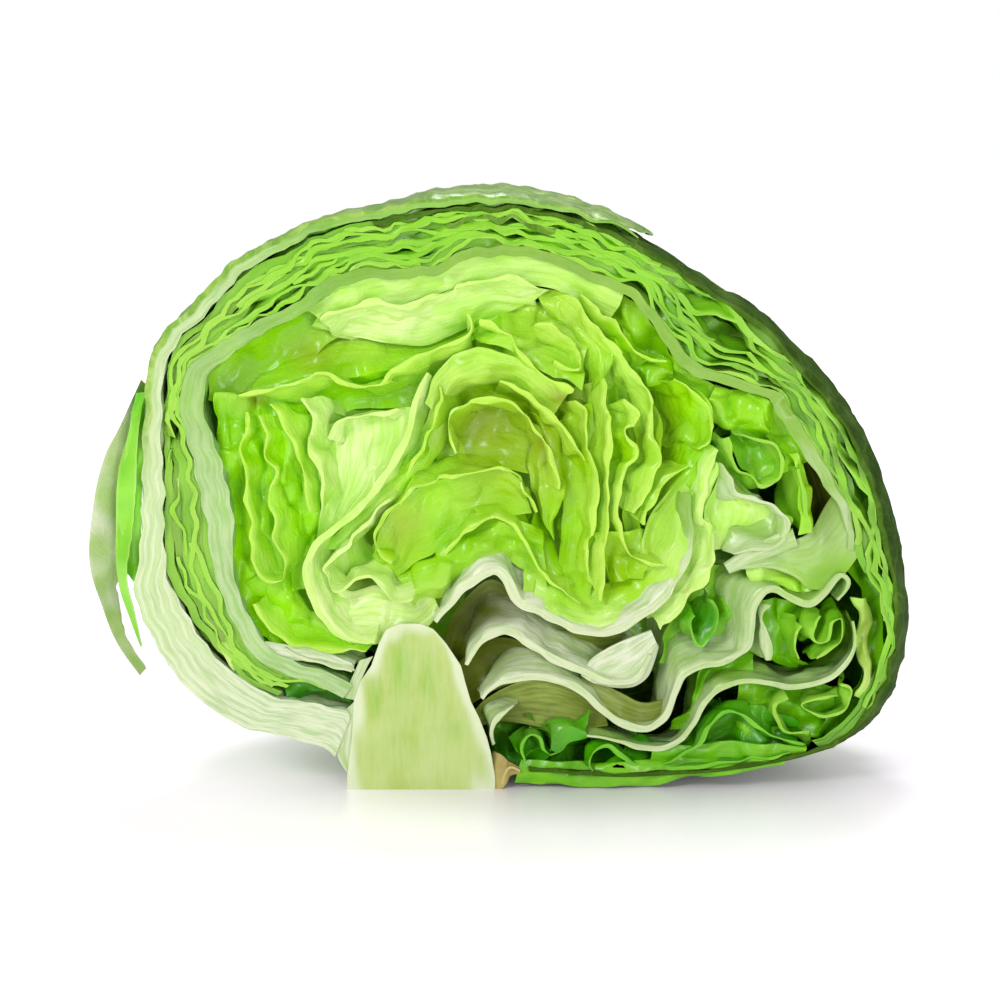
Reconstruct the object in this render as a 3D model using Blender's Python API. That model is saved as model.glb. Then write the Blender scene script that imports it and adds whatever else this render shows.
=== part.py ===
"""Half of an iceberg lettuce head, cut flat through its stem and standing on the stem's end.

The cut face looks along -Y. Every point of the cut face is given on a drawing grid, five squares to
the millimetre, with x to the right and y down. Depth is measured backwards from the cut face, in
millimetres. Two families of leaves fill the head. Wrapper leaves are sheets nested in the head's own
round form. Inner leaves are ribbons: each starts as a curve drawn in the cut face and runs back into
the head, and one rule moves every ribbon on its way back, so ribbons that are apart in the face stay
apart behind it.
"""

import math

import bmesh
import bpy
from mathutils import Vector

# Driving dimensions, in metres
SQUARE = 0.0002
HEAD_DEPTH = 0.078
THIN_LEAF = 0.0008
GAP = 0.0007
CAD_STEP = 0.0042

# The same sizes in millimetres, the unit of every shape below
MM = 0.001
DEPTH = HEAD_DEPTH / MM
THIN = THIN_LEAF / MM
CLEAR = GAP / MM
STEP = CAD_STEP / MM
GRID = SQUARE / MM
CUT_Y = -DEPTH / 2

# The grid point that lies over the origin, on the surface that the head stands on
GRID_X = 498
GRID_FLOOR = 792

# The middle of the head in the cut face
CENTRE = (500, 480)

# The head's outline in the cut face, from the bottom and round by the left
OUTLINE = [
    (500, 790), (430, 790), (345, 781), (317, 757), (246, 735), (206, 707), (162, 655), (136, 590),
    (142, 535), (146, 450), (152, 367), (166, 334), (200, 299), (237, 262), (281, 238), (336, 217),
    (384, 209), (427, 199), (490, 196), (534, 201), (594, 217), (650, 243), (686, 267), (723, 292),
    (757, 323), (792, 360), (830, 408), (862, 465), (884, 532), (896, 600), (893, 655), (878, 702),
    (848, 738), (798, 765), (744, 778), (682, 785), (620, 790), (560, 790),
]

# The middle line of the second thick rib, from the stem and round by the left
SECOND_RIB = [
    (350, 694), (318, 676), (290, 668), (262, 652), (245, 625), (230, 590), (222, 540), (215, 480),
    (206, 447), (197, 412), (199, 386), (208, 368), (230, 350), (267, 327), (307, 307), (334, 287),
    (360, 276), (400, 274), (434, 272), (467, 256), (490, 253), (534, 255), (574, 271), (614, 287),
    (634, 300), (654, 325), (680, 364), (707, 375), (740, 385), (767, 395), (780, 415), (809, 459),
    (827, 491), (838, 514), (841, 547),
]

# How far the outermost wrappers reach in past the outline where the second rib has ended
RIGHT_BAND = 5.3
BACK_BAND = 15.0

# The outermost leaves lie looser towards the back than at the cut face
LOOSER = 1.8

# The head is rounder than its cut edge on top and on the right, and flat where it rests
BULGE = 0.15
BOXY_POWER = 3.2
SAG = 2.2
SAG_X, SAG_BACK = 6.0, 30.0
SAG_WIDTH, SAG_LENGTH = 32.0, 15.0

# Ribbons lean towards the heart as they run back
HEART = (480, 430)
LEAN = 1.2
LEAN_CORE = 24.0
RIBBON_ROOM = 58.0


def ease(value, low, high):
    """0 below low, 1 above high, and a smooth rise between them."""
    t = min(1.0, max(0.0, (value - low) / (high - low)))
    return t * t * (3 - 2 * t)


def face_point(point):
    """A grid point as x and z in millimetres."""
    return (point[0] - GRID_X) * GRID, (GRID_FLOOR - point[1]) * GRID


CENTRE_X, CENTRE_Z = face_point(CENTRE)
HEART_X, HEART_Z = face_point(HEART)


def smooth_path(points, step, closed=False):
    """A round curve through the points, as points that lie evenly along it."""
    if closed:
        ends = [points[-1]] + points + [points[0], points[1]]
    else:
        first = [2 * points[0][i] - points[1][i] for i in range(2)]
        last = [2 * points[-1][i] - points[-2][i] for i in range(2)]
        ends = [first] + points + [last]
    fine = []
    for a, b, c, d in zip(ends, ends[1:], ends[2:], ends[3:]):
        for part in range(10):
            s = part / 10
            fine.append([
                0.5 * (2 * b[i] + (c[i] - a[i]) * s + (2 * a[i] - 5 * b[i] + 4 * c[i] - d[i]) * s ** 2
                       + (3 * b[i] - a[i] - 3 * c[i] + d[i]) * s ** 3)
                for i in range(2)
            ])
    fine.append(list(ends[-2]))
    lengths = [0.0]
    for p, q in zip(fine, fine[1:]):
        lengths.append(lengths[-1] + math.dist(p, q))
    count = max(2, round(lengths[-1] / step))
    path = []
    at = 0
    for k in range(count + 1):
        target = lengths[-1] * k / count
        while at < len(fine) - 2 and lengths[at + 1] < target:
            at += 1
        share = (target - lengths[at]) / max(1e-9, lengths[at + 1] - lengths[at])
        path.append([fine[at][i] + (fine[at + 1][i] - fine[at][i]) * share for i in range(2)])
    return path


def polar(points, closed):
    """A curve round the centre as (angle, radius) pairs, the angle in degrees from straight down."""
    pairs = []
    for x, y in smooth_path(points, 12.0, closed):
        across, down = CENTRE[0] - x, y - CENTRE[1]
        pairs.append((math.degrees(math.atan2(across, down)) % 360, math.hypot(across, down) * GRID))
    return sorted(pairs)


def read_polar(pairs, angle):
    """The radius at an angle, on a straight line between the nearest two pairs."""
    angle %= 360
    before = pairs[-1][0] - 360, pairs[-1][1]
    for pair in pairs + [(pairs[0][0] + 360, pairs[0][1])]:
        if pair[0] >= angle:
            share = (angle - before[0]) / max(1e-9, pair[0] - before[0])
            return before[1] + (pair[1] - before[1]) * share
        before = pair
    return before[1]


OUTLINE_POLAR = polar(OUTLINE, True)
RIB_POLAR = polar(SECOND_RIB, False)
RIB_START, RIB_END = RIB_POLAR[0][0], RIB_POLAR[-1][0]


def outline_radius(angle):
    return read_polar(OUTLINE_POLAR, angle)


def band_width(angle, turn):
    """From the outline in to the middle of the second rib, at an angle and a turn towards the back."""
    angle %= 360
    inside = min(max(angle, RIB_START), RIB_END)
    width = outline_radius(inside) - read_polar(RIB_POLAR, inside)
    width += (RIGHT_BAND - width) * ease(angle, RIB_END, RIB_END + 10)
    width += (BACK_BAND - width) * (1 - ease(angle, 8, RIB_START))
    return width + (BACK_BAND - width) * ease(turn, 4, 45)


def below(angle):
    """1 straight under the centre, 0 from the sides up."""
    return ease(math.cos(math.radians(angle)), 0.25, 0.9)


def round_off(angle, share):
    """How much of its radius the head keeps at a share of its depth."""
    power = 2 + (BOXY_POWER - 2) * below(angle)
    share = min(1.0, max(0.0, share))
    return (1 - share ** power) ** (1 / power)


def settle(x, back, z):
    """The head's own weight presses its underside down onto the surface."""
    spread = math.exp(-((x - SAG_X) / SAG_WIDTH) ** 2 - ((back - SAG_BACK) / SAG_LENGTH) ** 2)
    return z - SAG * spread * (1 - ease(z, 0, 45))


def place(x, back, z):
    """Millimetres from the cut face to a point in metres, with nothing below the surface."""
    return Vector((x, CUT_Y + back, max(0.0, settle(x, back, z)))) * MM


def crumple(x, y, z):
    """Broad dents and lumps of the head, alike for every wrapper."""
    return 0.7 * math.sin(5 * x + 2.1 * z) * math.cos(4 * y - 3 * z) + 0.5 * math.sin(7 * z + 6 * y + 1)


def wrapper_point(direction, inward):
    """The point of the head that lies inward millimetres under its surface in a direction."""
    x, y, z = direction
    y = max(0.0, y)
    angle = math.degrees(math.atan2(-x, -z))
    radius = outline_radius(angle)
    bulge = BULGE * ease(angle % 360, 120, 190) * (1 - 0.6 * ease(angle % 360, 285, 330))
    keep = round_off(angle, y) + bulge * y * (1 - y) * 2
    flat = math.hypot(x, z) or 1e-9
    reach = math.hypot(radius * keep, DEPTH * y)
    inward += crumple(x, y, z) * ease(y, 0.05, 0.5) * ease(z, -0.9, -0.5)
    scale = 1 - inward / reach
    return place(
        CENTRE_X + radius * keep * scale * x / flat,
        DEPTH * y * scale,
        CENTRE_Z + radius * keep * scale * z / flat,
    )


def ribbon_point(x, z, back):
    """Where a point of the cut face goes on its way back into the head."""
    angle = math.degrees(math.atan2(CENTRE_X - x, CENTRE_Z - z))
    level = math.hypot(x - CENTRE_X, z - CENTRE_Z) / outline_radius(angle)
    strength = LEAN * (1 - ease(level, 0.62, 0.92)) * ease(z, 6, 34)
    across, up = HEART_X - x, HEART_Z - z
    far = math.hypot(across, up, LEAN_CORE)
    x += back * strength * across / far
    z += back * strength * up / far
    keep = round_off(angle, back / RIBBON_ROOM)
    return place(CENTRE_X + (x - CENTRE_X) * keep, back, CENTRE_Z + (z - CENTRE_Z) * keep)


# Wrapper leaves: the side that the midrib is on, the angles from the stem at which the leaf starts and
# ends, its half width, and its place between the outermost sheet (0) and the second rib (1), on the
# left side and on the rest
SIDES = {
    "left": (Vector((-1, 0, 0)), Vector((0, 1, 0))),
    "right": (Vector((1, 0, 0)), Vector((0, 1, 0))),
    "back": (Vector((0, 1, 0)), Vector((1, 0, 0))),
}
WRAPPERS = {
    "outer_back_leaf": ("back", 14, 104, 52, None),
    "first_rib_leaf": ("left", 31, 214, 84, None),
    "outer_right_leaf": ("right", 5.5, 206, 84, (0.0, 0.0)),
    "top_back_leaf": ("back", 30, 180, 54, (0.3, 0.3)),
    "left_thin_leaf": ("left", 40, 236, 66, (0.66, 0.46)),
    "right_thin_leaf": ("right", 58, 226, 66, (0.62, 0.62)),
    "upper_right_leaf": ("right", 112, 222, 60, (0.78, 0.78)),
    "second_rib_leaf": ("left", 36, 281, 70, (1.0, 1.0)),
}


def blade_width(name, along):
    """Half the width of a wrapper leaf in degrees, at an angle along its midrib."""
    _, start, end, widest, _ = WRAPPERS[name]
    share = (along - start) / (end - start)
    narrow = 0.55 + 0.45 * ease(share, 0, 0.3)
    return widest * narrow * math.sqrt(max(0.05, 1 - max(0.0, (share - 0.3) / 0.7) ** 4))


def leaf_angles(side, direction):
    """A direction as degrees along a leaf's midrib and degrees to the side of it."""
    along, across = SIDES[side]
    return (
        math.degrees(math.atan2(direction.dot(along), -direction.z)) % 360,
        math.degrees(math.asin(max(-1.0, min(1.0, direction.dot(across))))),
    )


def cover(name, direction):
    """1 where a wrapper leaf lies over this direction, falling to 0 just past its margin."""
    side, start, end, _, _ = WRAPPERS[name]
    along, across = leaf_angles(side, direction)
    if along > 300:
        along -= 360
    inside = min(along - start, end - along, blade_width(name, min(max(along, start), end)) - abs(across))
    return ease(inside, -25, -13)


def first_rib_thickness(direction):
    along, across = leaf_angles("left", direction)
    rib = 9.0 - 0.8 * ease(along, 50, 70) - 3.8 * ease(along, 68, 83) - 1.1 * ease(along, 84, 104)
    rib -= 1.6 * ease(along, 120, 160) + 0.6 * ease(along, 165, 195)
    return 0.9 + (rib - 0.9) * math.exp(-(across / 14) ** 2)


def second_rib_thickness(direction):
    along, across = leaf_angles("left", direction)
    rib = 3.4 + 2.3 * ease(along, 66, 86) - 1.9 * ease(along, 104, 132) - 1.0 * ease(along, 135, 170)
    rib += 1.4 * ease(along, 222, 245)
    return 1.0 + (rib - 1.0) * math.exp(-(across / 16) ** 2)


def outer_back_thickness(direction):
    along, across = leaf_angles("back", direction)
    rib = 2.8 - 1.8 * ease(along, 30, 100)
    return 1.0 + (rib - 1.0) * math.exp(-(across / 22) ** 2)


THICKNESS = {
    "outer_back_leaf": outer_back_thickness,
    "first_rib_leaf": first_rib_thickness,
    "second_rib_leaf": second_rib_thickness,
}


def wrapper_thickness(name, direction):
    return THICKNESS[name](direction) if name in THICKNESS else THIN


def wrapper_depth(name, direction):
    """How deep under the head's surface the outer face of a wrapper leaf lies."""
    if name == "outer_back_leaf":
        return 0.0
    clear = CLEAR + LOOSER * ease(direction.y, 0.1, 0.4)
    top = cover("outer_back_leaf", direction) * (outer_back_thickness(direction) + clear)
    if name == "first_rib_leaf":
        return top
    top += cover("first_rib_leaf", direction) * (first_rib_thickness(direction) + clear)
    angle = math.degrees(math.atan2(-direction.x, -direction.z))
    turn = math.degrees(math.asin(max(0.0, min(1.0, direction.y))))
    bottom = band_width(angle, turn) - second_rib_thickness(direction) / 2
    left, rest = WRAPPERS[name][4]
    return top + (left + (rest - left) * ease(angle % 360, 95, 108)) * (bottom - top)


def stem_edges(z):
    """The stem's left and right edge in the cut face at a height."""
    for (low, left, right), (high, next_left, next_right) in zip(STEM_ROWS, STEM_ROWS[1:]):
        if z <= high:
            share = max(0.0, (z - low) / (high - low))
            return left + (next_left - left) * share, right + (next_right - right) * share
    return STEM_ROWS[-1][1:]


# The stem: height, left edge and right edge
STEM_ROWS = [
    (0.0, -30.6, -0.8), (6.0, -30.2, -1.4), (13.0, -29.6, -3.0), (20.0, -28.8, -5.4),
    (27.0, -25.6, -8.2), (31.5, -23.2, -11.4), (34.0, -20.2, -14.6),
]
STEM_SIDES = 28

# Inner leaves: the curve of the cut edge, its thickness and its depth in millimetres
INNER_LEAVES = {
    "upper_blade": (
        [(322, 318), (340, 309), (358, 302), (376, 299), (396, 305), (420, 300), (441, 288), (467, 281),
         (492, 277), (518, 277), (540, 284)], 1.1, 12),
    "upper_ridge_leaf": (
        [(240, 392), (262, 390), (284, 384), (306, 375), (330, 372), (348, 380), (366, 379), (388, 371),
         (406, 361), (432, 349), (458, 339), (471, 326), (467, 313)], 1.2, 10),
    "crown_ridge_leaf": (
        [(480, 318), (494, 321), (506, 331), (515, 345), (527, 358), (541, 372), (557, 381), (573, 387)],
        1.2, 9),
    "shiny_band_leaf": (
        [(578, 293), (593, 302), (608, 315), (619, 333), (631, 345), (647, 355), (661, 360)], 1.0, 11),
    "hollow_rim_leaf": (
        [(455, 450), (446, 432), (452, 410), (467, 400), (490, 397), (512, 401), (524, 413), (534, 428),
         (546, 439), (549, 456), (554, 474), (555, 487)], 1.3, 8),
    "pointed_leaf": ([(500, 378), (522, 390), (542, 404), (560, 422), (573, 440), (582, 458)], 1.2, 8),
    "left_twin_leaf": (
        [(577, 400), (588, 410), (586, 425), (588, 441), (592, 455), (594, 480), (593, 510), (591, 545),
         (588, 578)], 1.0, 8),
    "right_twin_leaf": (
        [(607, 372), (607, 410), (608, 450), (607, 490), (605, 530), (602, 570), (599, 598)], 1.0, 10),
    "squiggle_leaf": (
        [(622, 398), (634, 407), (633, 420), (624, 428), (627, 438), (636, 447), (635, 458), (626, 467),
         (620, 478), (619, 494), (619, 512), (619, 528), (623, 543), (632, 553), (648, 560), (664, 563)],
        1.0, 8),
    "curved_leaf": (
        [(556, 290), (574, 301), (590, 316), (602, 332), (615, 348), (628, 364), (640, 382), (651, 399),
         (659, 418), (661, 438), (658, 458), (649, 479), (640, 498), (634, 514)], 1.0, 11),
    "bright_blade": ([(672, 376), (690, 385), (704, 397), (712, 414), (709, 432), (698, 447)], 1.0, 12),
    "lower_bright_blade": ([(688, 464), (670, 479), (656, 494), (648, 510), (645, 526)], 1.0, 10),
    "heart_lobe": (
        [(534, 322), (548, 325), (562, 334), (576, 340), (584, 352), (579, 364), (566, 367), (553, 360)],
        1.0, 8),
    "crinkled_twin_leaf": ([(440, 384), (440, 402), (431, 424), (422, 444), (412, 462), (406, 470)], 1.1, 8),
    "tongue_leaf": (
        [(390, 560), (379, 554), (373, 540), (378, 524), (393, 505), (413, 487), (436, 479), (458, 472),
         (484, 466), (500, 467), (516, 478), (527, 493), (533, 508)], 1.1, 8),
    "under_tongue_leaf": (
        [(432, 582), (441, 563), (455, 543), (470, 526), (490, 516), (508, 520), (524, 537), (534, 557),
         (548, 578), (566, 594), (578, 602)], 1.1, 8),
    "white_arch_leaf": (
        [(434, 622), (446, 606), (461, 589), (477, 574), (492, 568), (504, 574), (512, 590), (521, 605),
         (537, 609), (552, 618), (575, 628), (604, 631), (628, 623), (648, 610), (664, 594), (678, 577),
         (688, 556), (691, 534), (688, 512), (687, 492)], 2.4, 14),
    "saucer_rib_leaf": (
        [(374, 640), (360, 641), (340, 634), (321, 613), (309, 587), (306, 563), (316, 543), (333, 527),
         (353, 511), (374, 487), (393, 461), (406, 435), (413, 410), (419, 388), (428, 370)], 1.7, 13),
    "saucer_rim_leaf": (
        [(386, 499), (371, 514), (355, 533), (342, 548), (330, 558), (324, 569), (329, 581), (338, 590),
         (347, 584), (357, 575), (368, 573), (381, 584), (395, 601), (411, 596)], 1.1, 8),
    "left_crinkle_leaf": (
        [(272, 400), (282, 414), (293, 437), (301, 462), (307, 488), (306, 512)], 1.0, 10),
    "pale_panel_side": (
        [(301, 394), (310, 409), (305, 426), (309, 444), (318, 462), (323, 484), (321, 504)], 1.1, 12),
    "pale_panel_top": ([(324, 434), (335, 421), (350, 411), (368, 411), (384, 412), (396, 407)], 1.1, 10),
    "left_frill_leaf": (
        [(243, 408), (248, 427), (243, 448), (249, 470), (247, 495), (253, 520), (251, 545), (257, 568),
         (269, 581), (281, 577), (284, 563), (279, 548), (273, 534), (276, 518), (270, 498), (273, 474),
         (266, 452), (269, 432), (262, 414)], 1.0, 10),
    "lower_left_lobe": (
        [(253, 604), (264, 622), (284, 637), (306, 646), (330, 650), (350, 651), (366, 649)], 1.1, 11),
    "folded_white_leaf": ([(351, 670), (338, 665), (316, 661), (298, 655), (283, 647)], 1.2, 10),
    "under_stem_rib_leaf": (
        [(466, 664), (471, 652), (481, 640), (498, 633), (516, 636), (534, 646), (552, 658), (572, 667),
         (592, 676), (612, 682), (632, 680), (644, 670), (651, 656)], 2.0, 14),
    "long_white_rib_leaf": (
        [(481, 700), (489, 690), (503, 681), (526, 676), (550, 678), (572, 686), (590, 699), (607, 715),
         (625, 726), (646, 729), (661, 721), (670, 706), (675, 690), (684, 674), (702, 664), (724, 661),
         (742, 656), (749, 643), (750, 628), (751, 612), (755, 598), (765, 588), (780, 590), (796, 600),
         (809, 602), (820, 594), (829, 581), (839, 573), (847, 579), (843, 590), (835, 598)], 2.2, 14),
    "lower_white_rib_leaf": (
        [(586, 737), (600, 738), (618, 742), (638, 748), (660, 750), (679, 742), (692, 726), (701, 709),
         (713, 694), (731, 684), (752, 680), (770, 682), (788, 688), (806, 686), (824, 680), (838, 671),
         (848, 660), (853, 648), (854, 634), (851, 620)], 1.7, 13),
    "white_hook_leaf": ([(494, 746), (490, 734), (492, 723), (501, 715), (513, 709)], 1.3, 7),
    "right_cascade_leaf": (
        [(716, 446), (706, 464), (705, 484), (702, 500), (705, 516), (715, 531), (715, 550), (708, 568),
         (697, 584), (684, 600), (671, 616), (660, 632)], 1.4, 12),
    "pale_cup_leaf": (
        [(720, 461), (729, 476), (738, 491), (754, 496), (772, 504), (784, 516), (786, 530), (776, 541),
         (754, 547), (736, 556)], 1.2, 10),
    "right_curl_leaf": (
        [(724, 434), (729, 448), (737, 463), (748, 475), (761, 485), (773, 482), (780, 470), (779, 456),
         (773, 445), (760, 438), (743, 434)], 1.0, 9),
    "finger_leaf": ([(794, 466), (799, 482), (802, 500), (804, 518), (804, 530)], 2.0, 9),
    "green_cup_leaf": ([(695, 612), (688, 624), (690, 637), (700, 645), (712, 637), (719, 622), (719, 606)],
                       1.0, 8),
    "rose_petal": ([(803, 626), (796, 636), (794, 648), (798, 658)], 1.0, 8),
    "rose_heart": (
        [(820, 614), (813, 624), (811, 635), (816, 644), (824, 642), (829, 632), (831, 621), (837, 616),
         (841, 622), (842, 632), (837, 643), (828, 652), (816, 658)], 0.9, 8),
    "white_tip_leaf": ([(770, 606), (768, 624), (767, 642), (768, 660)], 1.4, 9),
    "lower_roll_leaf": (
        [(841, 683), (851, 686), (854, 695), (850, 705), (840, 711), (824, 715), (810, 712), (803, 705),
         (811, 699), (824, 698), (838, 697)], 0.9, 8),
    "roll_wrap_leaf": ([(790, 701), (780, 706), (776, 717), (784, 727), (798, 733), (812, 735)], 1.0, 9),
    "deep_green_ridge": (
        [(654, 765), (670, 763), (687, 754), (701, 741), (710, 725), (723, 713), (738, 713), (752, 723),
         (768, 735), (786, 743), (804, 746)], 1.1, 12),
    "bottom_blade": (
        [(592, 772), (588, 763), (595, 752), (607, 749), (620, 757), (638, 768), (664, 771), (690, 768),
         (716, 765), (742, 763), (768, 758), (792, 753)], 1.0, 12),
    "frill_leaf": (
        [(523, 764), (521, 749), (528, 736), (538, 739), (543, 752), (552, 760), (561, 750), (567, 738)],
        1.0, 8),
    "rolled_margin": (
        [(175, 446), (171, 458), (175, 470), (181, 480), (179, 494), (173, 505), (177, 518), (185, 528),
         (187, 545), (185, 558)], 1.0, 8),
    "leaf_scar": ([(500, 789), (503, 777), (510, 770), (519, 773)], 1.6, 5),
}

# Loose blades beside the head: outer edge, inner edge and how far back each lies
LOOSE_BLADES = {
    "loose_pale_leaf": (
        [(142, 380), (120, 426), (104, 456), (94, 494), (88, 540), (90, 580), (100, 615), (116, 650),
         (135, 680)],
        [(149, 392), (141, 430), (138, 470), (134, 510), (126, 545), (115, 575), (112, 606), (122, 645),
         (139, 677)], 5.0, 9.0),
    "loose_green_strip": (
        [(148, 392), (131, 430), (119, 470), (115, 540), (118, 590), (128, 622), (139, 648)],
        [(145, 404), (140, 440), (137, 490), (132, 540), (127, 580), (133, 612), (141, 643)], 3.4, 1.6),
}

# Cupped leaves behind the ribbons: how much of the outline they fill, how far back the rim and the
# middle lie
CUPPED_LEAVES = {
    "heart_back_leaf": (0.62, 16.5, 22.0),
    "inner_cup_leaf": (0.66, 19.0, 34.0),
    "deep_cup_leaf": (0.70, 21.5, 47.0),
}

# Colour, roughness
FINISHES = {
    "heart_lime": ((0.33, 0.72, 0.02), 0.32),
    "mid_green": ((0.25, 0.55, 0.04), 0.42),
    "outer_green": ((0.10, 0.28, 0.03), 0.5),
    "deep_green": ((0.06, 0.26, 0.01), 0.42),
    "pale_rib": ((0.72, 0.78, 0.50), 0.4),
    "stem_flesh": ((0.66, 0.76, 0.38), 0.5),
    "loose_pale": ((0.55, 0.62, 0.45), 0.6),
    "scar_brown": ((0.45, 0.33, 0.14), 0.6),
}
PALE = ("white_arch_leaf", "saucer_rib_leaf", "under_stem_rib_leaf", "long_white_rib_leaf",
        "lower_white_rib_leaf", "white_hook_leaf", "white_tip_leaf", "folded_white_leaf",
        "pale_cup_leaf", "right_cascade_leaf", "saucer_rim_leaf", "first_rib_leaf", "second_rib_leaf")
OUTER = ("outer_back_leaf", "outer_right_leaf", "top_back_leaf")
MID = ("left_thin_leaf", "right_thin_leaf", "upper_right_leaf", "rolled_margin", "rose_petal",
       "rose_heart", "lower_roll_leaf", "roll_wrap_leaf", "right_curl_leaf", "finger_leaf",
       "inner_cup_leaf", "deep_cup_leaf")
DEEP = ("deep_green_ridge", "bottom_blade", "frill_leaf", "green_cup_leaf", "loose_green_strip")


def finish_of(name):
    for names, finish in ((PALE, "pale_rib"), (OUTER, "outer_green"), (MID, "mid_green"),
                          (DEEP, "deep_green"), (("stem",), "stem_flesh"),
                          (("loose_pale_leaf",), "loose_pale"), (("leaf_scar",), "scar_brown")):
        if name in names:
            return finish
    return "heart_lime"


def material(name):
    found = bpy.data.materials.get(name)
    if found:
        return found
    colour, roughness = FINISHES[name]
    made = bpy.data.materials.new(name)
    made.use_nodes = True
    shader = made.node_tree.nodes["Principled BSDF"]
    shader.inputs["Base Color"].default_value = (*colour, 1)
    shader.inputs["Roughness"].default_value = roughness
    shader.inputs["Metallic"].default_value = 0.0
    return made


def new_piece(name, bm, collection):
    """A finished bmesh as an object of the head, with its faces pointing out."""
    bmesh.ops.recalc_face_normals(bm, faces=bm.faces)
    if bm.calc_volume(signed=True) < 0:
        bmesh.ops.reverse_faces(bm, faces=bm.faces)
    mesh = bpy.data.meshes.new(name)
    bm.to_mesh(mesh)
    bm.free()
    mesh.materials.append(material(finish_of(name)))
    mesh.shade_smooth()
    mesh.set_sharp_from_angle(angle=math.radians(50))
    piece = bpy.data.objects.new(name, mesh)
    collection.objects.link(piece)
    return piece


def flat_sheet(columns, rows):
    """A triangulated grid over 0 to 1 each way."""
    bm = bmesh.new()
    bmesh.ops.create_grid(bm, x_segments=columns, y_segments=rows, size=0.5)
    for vertex in bm.verts:
        vertex.co += Vector((0.5, 0.5, 0))
    bmesh.ops.triangulate(bm, faces=bm.faces)
    return bm


def thicken(bm):
    """The second face of a sheet: a copy of the first at z = 1, joined round the border."""
    made = bmesh.ops.extrude_face_region(bm, geom=bm.faces[:], use_keep_orig=True)
    for vertex in made["geom"]:
        if isinstance(vertex, bmesh.types.BMVert):
            vertex.co.z = 1
    bmesh.ops.triangulate(bm, faces=[face for face in bm.faces if len(face.verts) > 3])


def make_wrapper(name, collection):
    """A sheet nested in the head's round form, from the stem up over its side, cut at the face."""
    side, start, end, widest, _ = WRAPPERS[name]
    along_axis, across_axis = SIDES[side]
    columns = round((end - start) / 8.5)
    two_sided = side == "back"
    rows = round(widest * (2 if two_sided else 1) / 8)
    bm = flat_sheet(columns, rows)
    directions = {}
    for vertex in bm.verts:
        along = start + (end - start) * vertex.co.x
        share = 2 * vertex.co.y - 1 if two_sided else vertex.co.y
        across = math.radians(share * blade_width(name, along))
        along = math.radians(along)
        directions[vertex] = (
            (Vector((0, 0, -1)) * math.cos(along) + along_axis * math.sin(along)) * math.cos(across)
            + across_axis * math.sin(across)
        )
    thicken(bm)
    first = {(round(v.co.x, 5), round(v.co.y, 5)): d for v, d in directions.items()}
    for vertex in bm.verts:
        direction = first[round(vertex.co.x, 5), round(vertex.co.y, 5)]
        inward = wrapper_depth(name, direction)
        if vertex.co.z > 0.5:
            inward += wrapper_thickness(name, direction)
        point = wrapper_point(direction, inward)
        left = (stem_edges(point.z / MM)[0] - 0.6) * MM
        if side == "left" and point.z < 0.03 and point.y < (CUT_Y + 18) * MM:
            point.x = min(point.x, left)
        vertex.co = point
    return new_piece(name, bm, collection)


def side_vectors(path):
    """The unit normal of a path at each of its points."""
    normals = []
    for k in range(len(path)):
        before, after = path[max(0, k - 1)], path[min(len(path) - 1, k + 1)]
        along = Vector((after[0] - before[0], after[1] - before[1])).normalized()
        normals.append(Vector((-along.y, along.x)))
    return normals


def make_ribbon(name, collection):
    """A leaf from its cut edge in the face back into the head."""
    points, thickness, depth = INNER_LEAVES[name]
    path = smooth_path([face_point(p) for p in points], STEP * 0.8)
    normals = side_vectors(path)
    last = len(path) - 1
    rows = 2 if depth < 11 else 3
    bm = flat_sheet(last, rows)
    thicken(bm)
    for vertex in bm.verts:
        k = round(vertex.co.x * last)
        end_taper = 0.75 + 0.25 * ease(min(k, last - k), 0, 2)
        offset = thickness * end_taper * (vertex.co.z - 0.5)
        x = path[k][0] + normals[k].x * offset
        z = path[k][1] + normals[k].y * offset
        vertex.co = ribbon_point(x, z, depth * vertex.co.y)
    return new_piece(name, bm, collection)


def make_loose_blade(name, collection):
    """A blade that stands off the head's left side, between an outer and an inner edge."""
    outer, inner, outer_back, inner_back = LOOSE_BLADES[name]
    first = smooth_path([face_point(p) for p in outer], STEP)
    columns = len(first) - 1
    second = smooth_path([face_point(p) for p in inner], STEP)
    bm = flat_sheet(columns, 2)
    thicken(bm)
    for vertex in bm.verts:
        k = round(vertex.co.x * columns)
        other = second[round(k * (len(second) - 1) / columns)]
        share = vertex.co.y
        back = outer_back + (inner_back - outer_back) * share + THIN * (vertex.co.z - 0.5)
        x = first[k][0] + (other[0] - first[k][0]) * share
        z = first[k][1] + (other[1] - first[k][1]) * share
        vertex.co = place(x, back, z)
    return new_piece(name, bm, collection)


def make_cupped_leaf(name, collection):
    """A dished leaf that closes the head behind the inner leaves."""
    reach, rim_back, middle_back = CUPPED_LEAVES[name]
    bm = bmesh.new()
    bmesh.ops.create_circle(bm, cap_ends=True, cap_tris=True, segments=24, radius=1)
    spokes = [edge for edge in bm.edges if min(v.co.length for v in edge.verts) < 0.5]
    bmesh.ops.subdivide_edges(bm, edges=spokes, cuts=2, use_grid_fill=True)
    bmesh.ops.triangulate(bm, faces=bm.faces)
    thicken(bm)
    for vertex in bm.verts:
        share = math.hypot(vertex.co.x, vertex.co.y)
        angle = math.degrees(math.atan2(-vertex.co.x, -vertex.co.y))
        radius = outline_radius(angle) * reach * share
        back = middle_back + (rim_back - middle_back) * share ** 2 + THIN * 1.2 * vertex.co.z
        across, up = (vertex.co.x / share, vertex.co.y / share) if share > 1e-6 else (0, 0)
        vertex.co = place(CENTRE_X + radius * across, back, CENTRE_Z + radius * up)
    return new_piece(name, bm, collection)


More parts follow.
